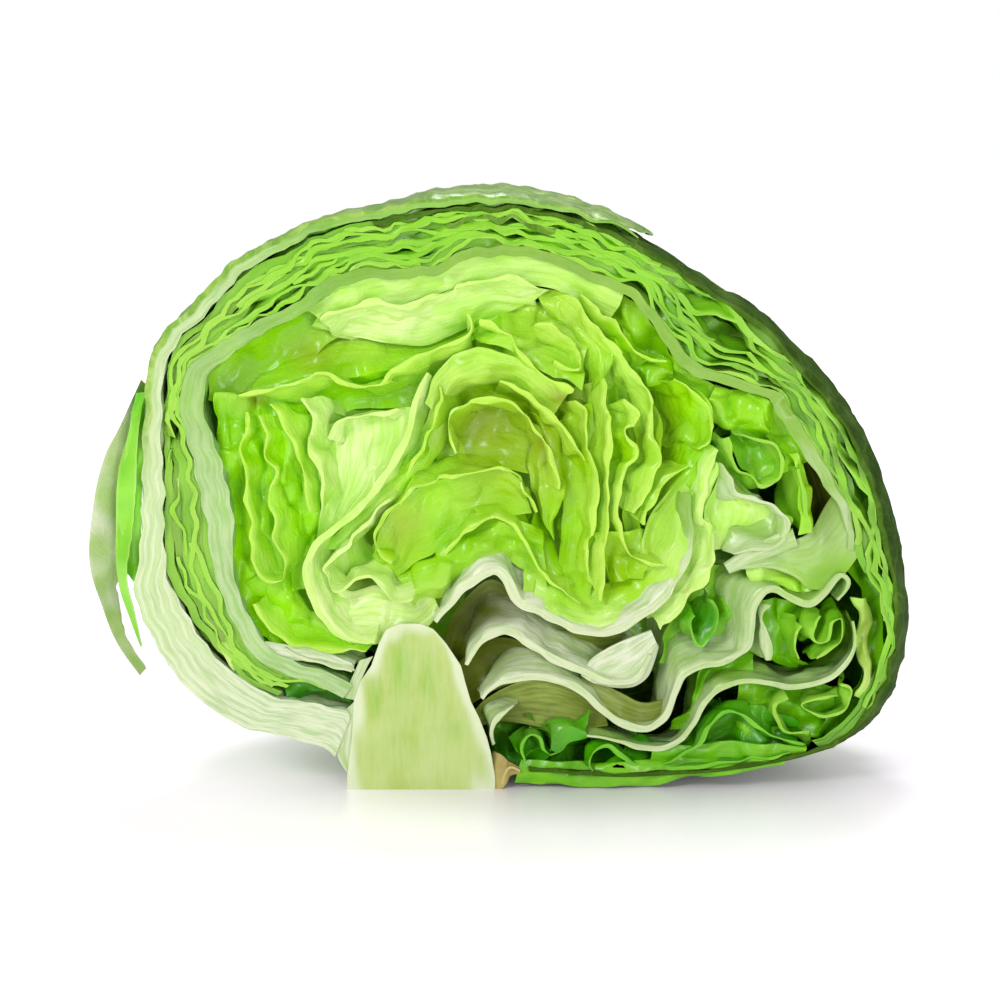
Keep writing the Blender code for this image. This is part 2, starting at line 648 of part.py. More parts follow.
def make_stem(collection):
    """The round stem, tapering up to its top, cut flat by the face and by the surface it stands on."""
    bm = bmesh.new()
    bmesh.ops.create_cone(bm, cap_ends=True, segments=STEM_SIDES, radius1=1, radius2=1, depth=1)
    heights = [row[0] / STEM_ROWS[-1][0] - 0.5 for row in STEM_ROWS[1:-1]]
    for height in heights:
        bmesh.ops.bisect_plane(bm, geom=bm.verts[:] + bm.edges[:] + bm.faces[:],
                               plane_co=(0, 0, height), plane_no=(0, 0, 1))
    for vertex in bm.verts:
        z = (vertex.co.z + 0.5) * STEM_ROWS[-1][0]
        left, right = stem_edges(z)
        half = (right - left) / 2
        vertex.co = Vector(((left + right) / 2 + half * vertex.co.x, CUT_Y + half * vertex.co.y, z)) * MM
    bmesh.ops.bisect_plane(bm, geom=bm.verts[:] + bm.edges[:] + bm.faces[:],
                           plane_co=(0, CUT_Y * MM, 0), plane_no=(0, -1, 0), clear_outer=True)
    bmesh.ops.holes_fill(bm, edges=[edge for edge in bm.edges if edge.is_boundary])
    bmesh.ops.triangulate(bm, faces=bm.faces)
    return new_piece("stem", bm, collection)


def main():
    for old in list(bpy.data.objects):
        bpy.data.objects.remove(old, do_unlink=True)
    collection = bpy.data.collections.new("iceberg_lettuce_half")
    bpy.context.scene.collection.children.link(collection)
    make_stem(collection)
    for name in WRAPPERS:
        make_wrapper(name, collection)
    for name in INNER_LEAVES:
        make_ribbon(name, collection)
    for name in LOOSE_BLADES:
        make_loose_blade(name, collection)
    for name in CUPPED_LEAVES:
        make_cupped_leaf(name, collection)


main()
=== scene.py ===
# %% [markdown]
# # Half an iceberg lettuce, cut lengthwise
# The imported CAD model is the frame: it holds every leaf as a plain solid, at its true size and place.
# This lesson gives each leaf its looks. It loads the frame first. The finished leaves have to stay
# inside it.

import math

import bmesh
import bpy
import numpy as np
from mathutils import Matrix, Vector


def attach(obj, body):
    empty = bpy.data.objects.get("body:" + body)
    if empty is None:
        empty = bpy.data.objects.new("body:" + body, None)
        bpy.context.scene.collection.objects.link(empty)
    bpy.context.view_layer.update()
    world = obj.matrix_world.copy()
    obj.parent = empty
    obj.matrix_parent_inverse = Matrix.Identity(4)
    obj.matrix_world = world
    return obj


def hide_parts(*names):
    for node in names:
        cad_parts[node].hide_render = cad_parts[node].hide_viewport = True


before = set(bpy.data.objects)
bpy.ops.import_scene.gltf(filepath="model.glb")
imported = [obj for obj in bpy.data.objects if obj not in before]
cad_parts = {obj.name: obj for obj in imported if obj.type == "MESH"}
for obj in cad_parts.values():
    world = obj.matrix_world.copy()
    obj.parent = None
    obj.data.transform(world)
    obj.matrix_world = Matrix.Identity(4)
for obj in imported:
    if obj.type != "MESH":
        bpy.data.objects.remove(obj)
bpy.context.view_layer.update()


def in_mm(box):
    return [[round(float(c) * 1000, 1) for c in corner] for corner in box]


# %% [markdown]
# ## The drawing grid
# A head of lettuce is too irregular for plain dimensions. Its cut face is drawn on squared paper
# instead: x to the right, y down, five squares to the millimetre. Depth runs backwards from the cut
# face, in millimetres. Short helpers turn a grid point into millimetres and change a value softly.

# %% Grid, cut plane and helpers
MM = 0.001
GRID = 0.2
GRID_X, GRID_FLOOR = 498, 792
CUT_Y = -39.0
DEPTH = 78.0
CENTRE = (500, 480)


def face_point(point):
    return (point[0] - GRID_X) * GRID, (GRID_FLOOR - point[1]) * GRID


def ease(value, low, high):
    """Rises softly from 0 at low to 1 at high."""
    t = np.clip((value - low) / (high - low), 0, 1)
    return t * t * (3 - 2 * t)


def steps(value, start, *changes):
    """A number that starts at one level and changes softly, each change between two places."""
    for change, low, high in changes:
        start = start + change * ease(value, low, high)
    return start


CENTRE_X, CENTRE_Z = face_point(CENTRE)
print("centre of the head:", round(CENTRE_X, 1), round(CENTRE_Z, 1), "mm")

# %% [markdown]
# ## Camera
# The half stands on a table and is seen from straight ahead, a little from above. A long lens keeps
# the perspective flat. One grid square is one thousandth of the picture's width at the cut face, which
# fixes the distance for a given lens.

# %% Camera
LENS = 100.0
SENSOR = 36.0
LOOK_DOWN = math.radians(8.5)
AIM = (499, 497)
CLOSER = 0.992


def new_object(name, data):
    made = bpy.data.objects.new(name, data)
    bpy.context.scene.collection.objects.link(made)
    return made


distance = LENS / SENSOR * 1000 * GRID * CLOSER
aim_x, aim_z = face_point(AIM)
camera = new_object("camera", bpy.data.cameras.new("camera"))
camera.data.lens = LENS
camera.data.sensor_width = SENSOR
camera.location = Vector((
    aim_x, CUT_Y - distance * math.cos(LOOK_DOWN), aim_z + distance * math.sin(LOOK_DOWN),
)) * MM
camera.rotation_euler = (math.pi / 2 - LOOK_DOWN, 0, 0)
bpy.context.scene.camera = camera
print("camera:", round(distance), "mm from the cut face")

# %% [markdown]
# ## Short words for shader nodes
# Every look is a tree of nodes. This class wraps a tree and gives the few nodes that the lesson needs
# short names. A value may be a number, a colour, a vector or another node's socket: one method sorts
# out whether to set it or to link it.

# %% Node words
FLOAT, COLOUR = "NodeSocketFloat", "NodeSocketColor"


class Nodes:
    def __init__(self, tree):
        self.tree = tree

    def put(self, value, socket):
        """Links another socket, or sets a number, a vector or a colour."""
        if isinstance(value, bpy.types.NodeSocket):
            self.tree.links.new(value, socket)
        elif socket.type == "RGBA":
            socket.default_value = (*value, 1)
        else:
            socket.default_value = value

    def node(self, kind, inputs=(), **settings):
        made = self.tree.nodes.new("ShaderNode" + kind)
        for key, value in settings.items():
            setattr(made, key, value)
        for key, value in dict(inputs).items():
            self.put(value, made.inputs[key])
        return made

    def shader(self, inputs):
        for key, value in inputs.items():
            self.put(value, self.tree.nodes["Principled BSDF"].inputs[key])

    def place(self):
        return self.node("TexCoord").outputs["Object"]

    def attribute(self, name):
        return self.node("Attribute", attribute_name=name).outputs["Fac"]

    def math(self, operation, *values, clamp=False):
        return self.node("Math", enumerate(values), operation=operation, use_clamp=clamp).outputs[0]

    def times(self, first, second):
        return self.math("MULTIPLY", first, second)

    def plus(self, first, second, clamp=False):
        return self.math("ADD", first, second, clamp=clamp)

    def vector(self, operation, *values):
        return self.node("VectorMath", enumerate(values), operation=operation).outputs

    def ranged(self, value, low, high, to_low=0.0, to_high=1.0):
        """Moves a value softly from one range to another."""
        inputs = {"Value": value, "From Min": low, "From Max": high, "To Min": to_low, "To Max": to_high}
        return self.node("MapRange", inputs, interpolation_type="SMOOTHSTEP").outputs["Result"]

    def mix(self, share, first, second):
        inputs = {"Factor": share, "A": first, "B": second}
        return self.node("Mix", inputs, data_type="RGBA").outputs["Result"]

    def noise(self, scale, detail=2.0, roughness=0.5, vector=None):
        inputs = {"Scale": scale, "Detail": detail, "Roughness": roughness, "Vector": vector or self.place()}
        return self.node("TexNoise", inputs).outputs["Fac"]

    def bump(self, strength, distance, height):
        inputs = {"Strength": strength, "Distance": distance, "Height": height}
        return self.node("Bump", inputs).outputs["Normal"]


def new_material(name):
    made = bpy.data.materials.new(name)
    made.use_nodes = True
    return made, Nodes(made.node_tree)


def new_group(name, inputs, outputs):
    """A shared effect: its nodes, the sockets that it is given, and the sockets that it fills."""
    group = bpy.data.node_groups.new(name, "ShaderNodeTree")
    for key, value in inputs.items():
        kind = COLOUR if isinstance(value, tuple) else FLOAT
        made = group.interface.new_socket(key, in_out="INPUT", socket_type=kind)
        made.default_value = (*value, 1) if kind == COLOUR else value
    for key, kind in outputs.items():
        group.interface.new_socket(key, in_out="OUTPUT", socket_type=kind)
    given = group.nodes.new("NodeGroupInput").outputs
    return Nodes(group), given, group.nodes.new("NodeGroupOutput").inputs


def srgb(red, green, blue):
    """A colour on a 0 to 255 scale, as the linear numbers that a shader needs."""
    shares = [c / 255 for c in (red, green, blue)]
    return tuple(c / 12.92 if c <= 0.04 else ((c + 0.055) / 1.055) ** 2.4 for c in shares)


print("a middle grey of 128 is", round(srgb(128, 128, 128)[0], 3), "in a shader")

# %% [markdown]
# ## Light and floor
# Wet leaves need broad lights: a small lamp gives hard white dots, a large one gives long soft sheen.
# One hangs overhead and a little behind, so the shadow falls softly in front. Two broad ones by the
# camera light the cut face. The floor gives off light of its own, plain white far out; round the foot
# this light is dimmed, a painted shadow that deepens the real one.

# %% Light and floor
HEAD_MIDDLE = Vector((0, 0, 0.06))
LAMPS = {
    # name: place, size, power
    "overhead": ((0.05, 0.4, 0.85), 0.4, 4.0),
    "key": ((-0.7, -0.95, 0.7), 0.42, 6.4),
    "right_fill": ((0.5, -1.25, 0.3), 0.4, 3.8),
}
SKY_LIGHT = 0.39
FLOOR_RADIUS = 2.5
FLOOR_GLOW_AND_PAINTED_SHADOW = [
    # middle, scale, radius where the ring starts and ends, how dim the floor's own light is inside
    ((0, 0, 0), (1, 1, 1), 0.12, 0.5, 0.66),
    # painted shadow: round the foot the floor's own light is dimmed, so the floor is darker there
    ((0.013, -0.02, 0), (0.66, 1, 1), 0.012, 0.058, 0.06),
]

for name, (stand, size, power) in LAMPS.items():
    lamp = new_object(name, bpy.data.lights.new(name, "AREA"))
    lamp.data.shape = "DISK"
    lamp.data.size = size
    lamp.data.energy = power
    lamp.location = stand
    lamp.rotation_euler = (HEAD_MIDDLE - Vector(stand)).to_track_quat("-Z", "Y").to_euler()

world = bpy.data.worlds.new("studio")
bpy.context.scene.world = world
world.use_nodes = True
sky = Nodes(world.node_tree)
background = world.node_tree.nodes["Background"].inputs
sky.put((1, 1, 1), background["Color"])
seen = sky.node("LightPath").outputs["Is Camera Ray"]
sky.put(sky.math("MULTIPLY_ADD", seen, 1 - SKY_LIGHT, SKY_LIGHT), background["Strength"])
bpy.context.scene.view_settings.view_transform = "Standard"

floor_bm = bmesh.new()
bmesh.ops.create_circle(floor_bm, cap_ends=True, segments=64, radius=FLOOR_RADIUS)
floor = new_object("floor", bpy.data.meshes.new("floor"))
floor_bm.to_mesh(floor.data)
floor_bm.free()
floor_material, floor_nodes = new_material("white_floor")
rings = []
for middle, scale, near, far, dim in FLOOR_GLOW_AND_PAINTED_SHADOW:
    shifted = floor_nodes.vector("SUBTRACT", floor_nodes.place(), middle)[0]
    squeezed = floor_nodes.vector("MULTIPLY", shifted, scale)[0]
    away = floor_nodes.vector("LENGTH", squeezed)["Value"]
    rings.append(floor_nodes.ranged(away, near, far, dim))
floor_nodes.shader({
    "Base Color": (0.95, 0.87, 0.965), "Roughness": 0.3,
    "Emission Color": floor_nodes.times(*rings), "Emission Strength": 0.66,
})
floor.data.materials.append(floor_material)
print("lights:", list(LAMPS))

# %% [markdown]
# ## Smooth curves
# Every leaf starts as a curve drawn in the cut face through a few given points. A Catmull-Rom
# spline passes through all of its points, which suits tracing better than a Bezier curve, and the
# result is cut into even steps so that the mesh has even faces.

# %% Curves
PARTS_OF_A_SPAN = 16
OUTLINE_STEP = 3.0


def smooth_path(points, step, closed=False):
    """Points evenly along a round curve through the given ones, and the curve's length."""
    points = np.array(points, float)
    if closed:
        ends = np.vstack([points[-1], points, points[0], points[1]])
    else:
        ends = np.vstack([2 * points[0] - points[1], points, 2 * points[-1] - points[-2]])
    a, b, c, d = ends[:-3, None], ends[1:-2, None], ends[2:-1, None], ends[3:, None]
    s = np.linspace(0, 1, PARTS_OF_A_SPAN, endpoint=False)[None, :, None]
    square, cube = 2 * a - 5 * b + 4 * c - d, 3 * b - a - 3 * c + d
    fine = 0.5 * (2 * b + (c - a) * s + square * s ** 2 + cube * s ** 3)
    fine = np.vstack([fine.reshape(-1, 2), ends[-2]])
    length = np.concatenate([[0], np.cumsum(np.linalg.norm(np.diff(fine, axis=0), axis=1))])
    even = np.linspace(0, length[-1], max(3, round(length[-1] / step)) + 1)
    return np.stack([np.interp(even, length, fine[:, i]) for i in range(2)], axis=1), length[-1]


def along_path(path, u):
    """The points at the shares u of a path's length."""
    return np.stack([np.interp(u, np.linspace(0, 1, len(path)), path[:, i]) for i in range(2)], axis=1)


def polar(points, closed):
    """A curve round the centre as angles in degrees from straight down and radii in millimetres."""
    path, _ = smooth_path(points, OUTLINE_STEP, closed)
    across, down = CENTRE[0] - path[:, 0], path[:, 1] - CENTRE[1]
    angle = np.degrees(np.arctan2(across, down)) % 360
    order = np.argsort(angle)
    return angle[order], (np.hypot(across, down) * GRID)[order]


square_of_40 = [(0, 0), (40, 0), (40, 40), (0, 40)]
print("length of a curve round a square of 40 mm:", round(smooth_path(square_of_40, 1, True)[1]))

# %% [markdown]
# ## The head's form
# The wrapper leaves lie on each other like the coats of an onion. All of them follow one form: the
# outline of the cut face, rounded off towards the back, rounder on top than below, and pressed flat
# where the head rests. A wrapper leaf is a patch of that form at some depth under the surface.

# %% Outline and second rib
OUTLINE = [
    (500, 790), (430, 790), (345, 781), (317, 757), (246, 735), (206, 707), (162, 655), (136, 590),
    (142, 535), (146, 450), (152, 367), (166, 334), (200, 299), (237, 262), (281, 238), (336, 217),
    (384, 209), (427, 199), (490, 196), (534, 201), (594, 217), (650, 243), (686, 267), (723, 292),
    (757, 323), (792, 360), (830, 408), (862, 465), (884, 532), (896, 600), (893, 655), (878, 702),
    (848, 738), (798, 765), (744, 778), (682, 785), (620, 790), (560, 790),
]
SECOND_RIB = [
    (350, 694), (318, 676), (290, 668), (262, 652), (245, 625), (230, 590), (222, 540), (215, 480),
    (206, 447), (197, 412), (199, 386), (208, 368), (230, 350), (267, 327), (307, 307), (334, 287),
    (360, 276), (400, 274), (434, 272), (467, 256), (490, 253), (534, 255), (574, 271), (614, 287),
    (634, 300), (654, 325), (680, 364), (707, 375), (740, 385), (767, 395), (780, 415), (809, 459),
    (827, 491), (838, 514), (841, 547),
]
RIGHT_BAND = 5.3
BACK_BAND = 15.0
LOOSER = 1.8
CLEAR = 0.7
BULGE = 0.15
RIGHT_BULGE = 0.07
BOXY_POWER = 3.2
SAG = 2.2
SAG_X, SAG_BACK = 6.0, 30.0
SAG_WIDTH, SAG_LENGTH, SAG_TOP = 32.0, 15.0, 45

outline_angles, outline_radii = polar(OUTLINE, True)
rib_angles, rib_radii = polar(SECOND_RIB, False)
RIB_START, RIB_END = rib_angles[0], rib_angles[-1]


def outline_radius(angle):
    return np.interp(angle, outline_angles, outline_radii, period=360)


def round_angle(direction):
    """Degrees round the head from straight down, by way of the left side."""
    return np.degrees(np.arctan2(-direction[..., 0], -direction[..., 2])) % 360


def band_width(angle, turn):
    """From the outline in to the middle of the second rib."""
    angle = angle % 360
    inside = np.clip(angle, RIB_START, RIB_END)
    width = outline_radius(inside) - np.interp(inside, rib_angles, rib_radii)
    width = width + (RIGHT_BAND - width) * ease(angle, RIB_END, RIB_END + 10)
    width = width + (BACK_BAND - width) * (1 - ease(angle, 8, RIB_START))
    return width + (BACK_BAND - width) * ease(turn, 4, 45)


def round_off(angle, share):
    """How much of its radius the head keeps at a share of its depth: boxy below, round above."""
    power = 2 + (BOXY_POWER - 2) * ease(np.cos(np.radians(angle)), 0.25, 0.9)
    return (1 - np.clip(share, 0, 1) ** power) ** (1 / power)


def place(x, back, z):
    """Millimetres from the cut face to the frame's metres, pressed flat at the floor."""
    spread = np.exp(-((x - SAG_X) / SAG_WIDTH) ** 2 - ((back - SAG_BACK) / SAG_LENGTH) ** 2)
    z = z - SAG * spread * (1 - ease(z, 0, SAG_TOP))
    return np.stack([x, CUT_Y + back, np.maximum(z, 0)], axis=-1) * MM


def crumple(x, y, z):
    return 0.7 * np.sin(5 * x + 2.1 * z) * np.cos(4 * y - 3 * z) + 0.5 * np.sin(7 * z + 6 * y + 1)


def wrapper_point(direction, inward, wrinkle=0.0):
    """The point of the head that lies inward millimetres under its surface in a direction."""
    x, y, z = direction[..., 0], np.maximum(direction[..., 1], 0), direction[..., 2]
    angle = round_angle(direction)
    radius = outline_radius(angle)
    bulge = BULGE * ease(angle, 120, 190) * (1 - 0.6 * ease(angle, 285, 330))
    bulge = bulge + RIGHT_BULGE * ease(angle, 235, 265) * (1 - ease(angle, 300, 335))
    keep = round_off(angle, y) + bulge * y * (1 - y) * 2
    flat = np.maximum(np.hypot(x, z), 1e-9)
    reach = np.hypot(radius * keep, DEPTH * y)
    inward = inward + crumple(x, y, z) * ease(y, 0.05, 0.5) * ease(z, -0.9, -0.5) + wrinkle
    scale = 1 - inward / reach
    return place(CENTRE_X + radius * keep * scale * x / flat, DEPTH * y * scale,
                 CENTRE_Z + radius * keep * scale * z / flat)


print("outline:", round(float(outline_radii.min())), "to", round(float(outline_radii.max())), "mm away")

# %% [markdown]
# ## Soft random waves
# Nothing on a leaf is straight or even. A handful of sine waves in random directions, with a fixed
# seed, make a smooth random field in space. It can bend a leaf, thin its edge or tint it, and leaves
# that lie side by side bend alike, so they don't cross.

# %% Random waves
def waves(seed, length, count=7):
    """A smooth random function of a place in millimetres, mostly between -1 and 1."""
    rng = np.random.default_rng(seed)
    turns = rng.normal(size=(count, 3))
    sizes = rng.uniform(0.7, 1.5, (count, 1)) / np.linalg.norm(turns, axis=1)[:, None]
    turns *= (2 * math.pi / length) * sizes
    phases = rng.uniform(0, 2 * math.pi, count)

    def field(x, y, z):
        total = np.zeros(np.broadcast(x, y, z).shape)
        for turn, phase in zip(turns, phases):
            total = total + np.sin(turn[0] * x + turn[1] * y + turn[2] * z + phase)
        return total / math.sqrt(count / 2)

    return field


bend_x, bend_z = waves(1, 13.0), waves(2, 13.0)
frill_x, frill_z = waves(3, 5.5), waves(4, 5.5)
uneven = waves(5, 7.0)
edge_wave = waves(8, 9.0)
tint_wave = waves(6, 16.0)
thin_wave, thin_wave_fine = waves(11, 17.0), waves(12, 6.0)
inside_wave, creases, fine_creases = waves(31, 11.0), waves(32, 6.5), waves(33, 3.2)
print("the tint at the centre:", round(float(tint_wave(CENTRE_X, 0, CENTRE_Z)), 2))

# %% [markdown]
# ## Pale places and painted shade
# A lettuce is not green all over. Where a rib widens, the leaf is almost white. Recesses and gaps,
# where shade falls, are painted a deeper brownish green as painted shade. Each such place is a soft
# oval in the cut face: its middle on the grid, half its width and half its height in squares, and its
# strength.

# %% Soft spots
PALE_SPOTS = [
    (400, 322, 75, 26, 0.75), (355, 455, 34, 46, 0.6), (510, 300, 60, 18, 0.35), (425, 600, 60, 26, 0.6),
    (360, 610, 60, 34, 0.6), (500, 590, 40, 26, 0.5), (600, 630, 80, 22, 0.6), (745, 510, 36, 26, 0.5),
    (700, 560, 40, 60, 0.3), (495, 300, 22, 14, 0.4), (540, 470, 16, 22, 0.2), (740, 540, 50, 30, 0.3),
    (526, 690, 46, 14, 0.8),
]
# painted shade: the places where recesses and gaps are darkened
PAINTED_SHADE_SPOTS = [
    (482, 428, 42, 34, 0.8), (480, 630, 46, 46, 0.9), (510, 690, 60, 40, 0.25), (560, 395, 14, 12, 0.9),
    (540, 440, 14, 22, 0.8), (665, 440, 12, 60, 0.5), (400, 520, 24, 30, 0.45), (310, 355, 20, 14, 0.6),
    (820, 495, 14, 36, 0.6), (255, 400, 12, 8, 0.9), (258, 558, 10, 8, 0.9), (640, 440, 14, 20, 0.5),
    (358, 582, 18, 9, 0.9), (868, 640, 12, 70, 0.6), (212, 622, 20, 36, 0.8), (482, 612, 40, 26, 1.0),
]
BEIGE_SPOTS = [
    (735, 295, 18, 10, 0.8), (760, 335, 16, 10, 0.7), (830, 390, 16, 12, 0.7), (845, 420, 12, 12, 0.6),
    (700, 275, 14, 8, 0.5), (790, 365, 14, 10, 0.5), (812, 475, 18, 30, 0.6), (838, 530, 18, 40, 0.8),
    (860, 520, 14, 20, 0.5),
]
WARM_SPOTS = [
    (530, 450, 90, 80, 0.75), (560, 320, 60, 40, 0.5), (610, 560, 60, 60, 0.6), (330, 350, 60, 20, 0.35),
    (400, 540, 30, 40, 0.5),
]
STEM_STREAKS = [
    (401, 668, 9, 30, 0.8), (426, 676, 7, 28, 0.6), (374, 698, 7, 20, 0.6), (448, 730, 18, 14, 0.35),
    (352, 764, 6, 14, 0.7), (412, 740, 60, 40, 0.12),
]


def spots(table, x, z):
    """The strongest of the soft ovals at a place of the cut face."""
    strongest = np.zeros(np.shape(x))
    for *middle, half_width, half_height, strength in table:
        across, up = face_point(middle)
        near = ((x - across) / (half_width * GRID)) ** 2 + ((z - up) / (half_height * GRID)) ** 2
        strongest = np.maximum(strongest, strength * np.exp(-near))
    return strongest


print("soft spots:", len(PALE_SPOTS + PAINTED_SHADE_SPOTS + BEIGE_SPOTS + WARM_SPOTS + STEM_STREAKS))

# %% [markdown]
# ## One maker for all leaves
# A leaf is a grid of faces extruded into a thin closed body, then laid in place. The grid gives even
# quads, extruding keeps both faces alike, and each corner still knows how far along the leaf, how far
# back and on which face it lies. Those numbers go with the mesh as attributes, so that a material can
# paint the cut edge, the skin and the pale rib without any picture.

# %% The leaf maker
SHARP = math.radians(55)
LOOKS = {}


def thicken(bm):
    """Closes flat faces at z = 0 into a body that reaches up to z = 1."""
    made = bmesh.ops.extrude_face_region(bm, geom=bm.faces[:], use_keep_orig=True)
    second = [part for part in made["geom"] if isinstance(part, bmesh.types.BMVert)]
    bmesh.ops.translate(bm, verts=second, vec=(0, 0, 1))
    return bm


def sheet(columns, rows):
    """A closed flat body over 0 to 1 in x and y."""
    bm = bmesh.new()
    bmesh.ops.create_grid(bm, x_segments=columns, y_segments=rows, size=0.5)
    bmesh.ops.translate(bm, verts=bm.verts, vec=(0.5, 0.5, 0))
    return thicken(bm)


def finish_leaf(name, bm, lay, material, replaced=None):
    """Lays a body in place, stores its attributes and hands it to the frame."""
    mesh = bpy.data.meshes.new(name)
    bm.to_mesh(mesh)
    bm.free()
    flat = np.zeros(len(mesh.vertices) * 3)
    mesh.vertices.foreach_get("co", flat)
    u, v, side = flat.reshape(-1, 3).T
    points, marks = lay(u, v, np.round(side))
    mesh.vertices.foreach_set("co", points.astype(np.float32).ravel())
    marks["side"] = side
    for key, values in marks.items():
        layer = mesh.attributes.new(key, "FLOAT", "POINT")
        layer.data.foreach_set("value", np.broadcast_to(values, u.shape).astype(np.float32))
    bm = bmesh.new()
    bm.from_mesh(mesh)
    bmesh.ops.recalc_face_normals(bm, faces=bm.faces)
    if bm.calc_volume(signed=True) < 0:
        bmesh.ops.reverse_faces(bm, faces=bm.faces)
    bm.to_mesh(mesh)
    bm.free()
    mesh.materials.append(LOOKS[material])
    mesh.shade_smooth()
    mesh.set_sharp_from_angle(angle=SHARP)
    piece = new_object(name + "_look", mesh)
    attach(piece, "root")
    if replaced:
        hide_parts(replaced)


# %% [markdown]
# ## Veins and fibres
# Two patterns are shared by many leaves, so each is a node group. The veins are cell borders in two
# sizes, strong in some places and faint in others. The fibres are noise drawn out along the leaf.

# %% Veins and fibres
SPACING, VEIN_WIDTH = 105.0, 0.07
FINER = 3.3
WARP_SCALE, WARP = 90, (0.011, 0.011, 0.011)

veins, given, results = new_group("vein_net", {"Spacing": SPACING, "Width": VEIN_WIDTH}, {"Veins": FLOAT})
warp = veins.node("TexNoise", {"Scale": WARP_SCALE, "Vector": veins.place()}).outputs["Color"]
warped = veins.vector("MULTIPLY_ADD", warp, WARP, veins.place())[0]
borders = []
for spacing in (given["Spacing"], veins.times(given["Spacing"], FINER)):
    cells = veins.node("TexVoronoi", {"Vector": warped, "Scale": spacing}, feature="DISTANCE_TO_EDGE")
    borders.append(cells.outputs["Distance"])
thick_veins = veins.ranged(borders[0], 0.0, given["Width"], 1.0, 0.0)
fine_veins = veins.ranged(borders[1], 0.0, 0.1, 0.35, 0.0)
strong = veins.ranged(veins.noise(45), 0.38, 0.62, 0.25, 1.0)
veins.put(veins.math("MAXIMUM", veins.times(thick_veins, strong), fine_veins), results["Veins"])

fibres, given, results = new_group("fibres", {"Along": 0.1, "Scale": 1.3}, {"Fibres": FLOAT})
drawn_out = fibres.node("CombineXYZ", {
    "X": fibres.times(fibres.attribute("run"), given["Along"]),
    "Y": fibres.attribute("thick"), "Z": fibres.attribute("deep"),
}).outputs["Vector"]
fibres.put(fibres.noise(given["Scale"], 3, 0.6, drawn_out), results["Fibres"])
print("node groups:", [group.name for group in bpy.data.node_groups])

# %% [markdown]
# ## Leaf skin
# The third group is the skin itself. Its colour starts as fresh green with darker clouds. Warm and pale
# places come over it, then painted shade in recesses and gaps, the cut edge with its lengthwise
# streaks, and last the tint of an outer leaf's back. Its height breaks the sheen of the wet skin with
# lumps, veins and fine grain.

# %% Leaf skin
BROAD_SCALE, LUMP_SCALE, GRAIN_SCALE = 80, 190, 520
VEIN_HEIGHT, GRAIN_HEIGHT, STRAND_HEIGHT = 0.5, 0.22, 0.5
COAT_SPACING, COAT_WANDER = 3.6, 7.0
GREY_GREEN, PALE_GREEN = srgb(98, 154, 28), srgb(152, 192, 76)
SKIN_VEIN = srgb(186, 214, 124)

skin, given, results = new_group("leaf_skin", {
    "Green": (0.2, 0.7, 0.0), "Shade": (0.1, 0.4, 0.0), "Pale": (0.8, 0.9, 0.5), "Olive": srgb(116, 138, 16),
    "Warm": srgb(150, 184, 14), "Cut": (0.8, 0.9, 0.5), "Veins": 0.0, "Cut strength": 0.9,
    "Layering": 0.0, "Skin veins": 0.0,
}, {"Colour": COLOUR, "Height": FLOAT, "Gloss": FLOAT})
broad = skin.noise(BROAD_SCALE, 2, 0.6)
lumps = skin.noise(LUMP_SCALE, 3, 0.6)
grainy = skin.noise(GRAIN_SCALE, 3, 0.7)
strands = skin.node("Group", node_tree=fibres.tree).outputs["Fibres"]
streak = skin.ranged(strands, 0.34, 0.66, 0.5, 1.12)
cut, side = skin.attribute("cut"), skin.attribute("side")

clouds = skin.times(skin.ranged(broad, 0.35, 0.65), 0.6)
base = skin.mix(clouds, given["Green"], given["Shade"])
base = skin.mix(skin.attribute("warm"), base, given["Warm"])
paleness = skin.plus(skin.times(skin.attribute("pale"), streak), given["Veins"], clamp=True)
grain = skin.times(skin.math("SUBTRACT", grainy, 0.5), 0.1)
base = skin.mix(skin.plus(paleness, grain, clamp=True), base, given["Pale"])
# painted shade: recesses and gaps turn towards the painted shade colour
base = skin.mix(skin.attribute("olive"), base, given["Olive"])

# the cut edge: speckled, fading to the skin on either side, and layered like fine coats
speckle = skin.ranged(grainy, 0.3, 0.7, 0.75, 1.0)
cut_share = skin.times(skin.times(cut, given["Cut strength"]), speckle)
from_middle = skin.math("ABSOLUTE", skin.math("SUBTRACT", side, 0.5))
skin_line = skin.ranged(from_middle, 0.38, 0.5, 1.0, 0.5)
cut_share = skin.times(cut_share, skin.times(streak, skin_line))
coats = skin.plus(skin.times(skin.attribute("thick"), COAT_SPACING), skin.times(strands, COAT_WANDER))
coats = skin.times(skin.ranged(skin.math("SINE", coats), 0.1, 0.9), given["Layering"])
cut_share = skin.times(cut_share, skin.math("SUBTRACT", 1.0, coats))
base = skin.mix(cut_share, base, given["Cut"])

outside = skin.times(skin.ranged(side, 0.3, 0.5, 1.0, 0.0), skin.attribute("green_skin"))
tint = skin.mix(skin.ranged(lumps, 0.3, 0.75), GREY_GREEN, PALE_GREEN)
tint = skin.mix(given["Skin veins"], tint, SKIN_VEIN)
skin.put(skin.mix(outside, base, tint), results["Colour"])

height = skin.plus(lumps, skin.times(given["Veins"], VEIN_HEIGHT))
height = skin.plus(height, skin.times(grainy, GRAIN_HEIGHT))
skin.put(skin.plus(height, skin.times(strands, STRAND_HEIGHT)), results["Height"])
gloss = skin.ranged(broad, 0.3, 0.7, 0.26, 0.4)
skin.put(skin.plus(gloss, skin.times(cut, 0.3), clamp=True), results["Gloss"])
print("nodes in the skin:", len(skin.tree.nodes))

# %% [markdown]
# ## Leaf materials
# Each look is the skin group with colours of its own: fresh green, its shade, the pale rib and the cut
# edge. Inner leaves are bright and wet, outer ones dull with a net of veins, and the thick ribs show
# layers in their cut.

# %% Leaf materials
LAYERING = {"pale_rib": 0.6, "white_rib": 0.25}
BUMP_HEIGHT = 0.0012
COAT_ROUGHNESS = 0.2
CREAM = (186, 214, 136)
OUTSIDE = {
    "vein": 0.45, "coat": 0.0, "cut_strength": 0.7, "shine": 0.06, "dull": 0.4, "hollow": (38, 66, 8),
}
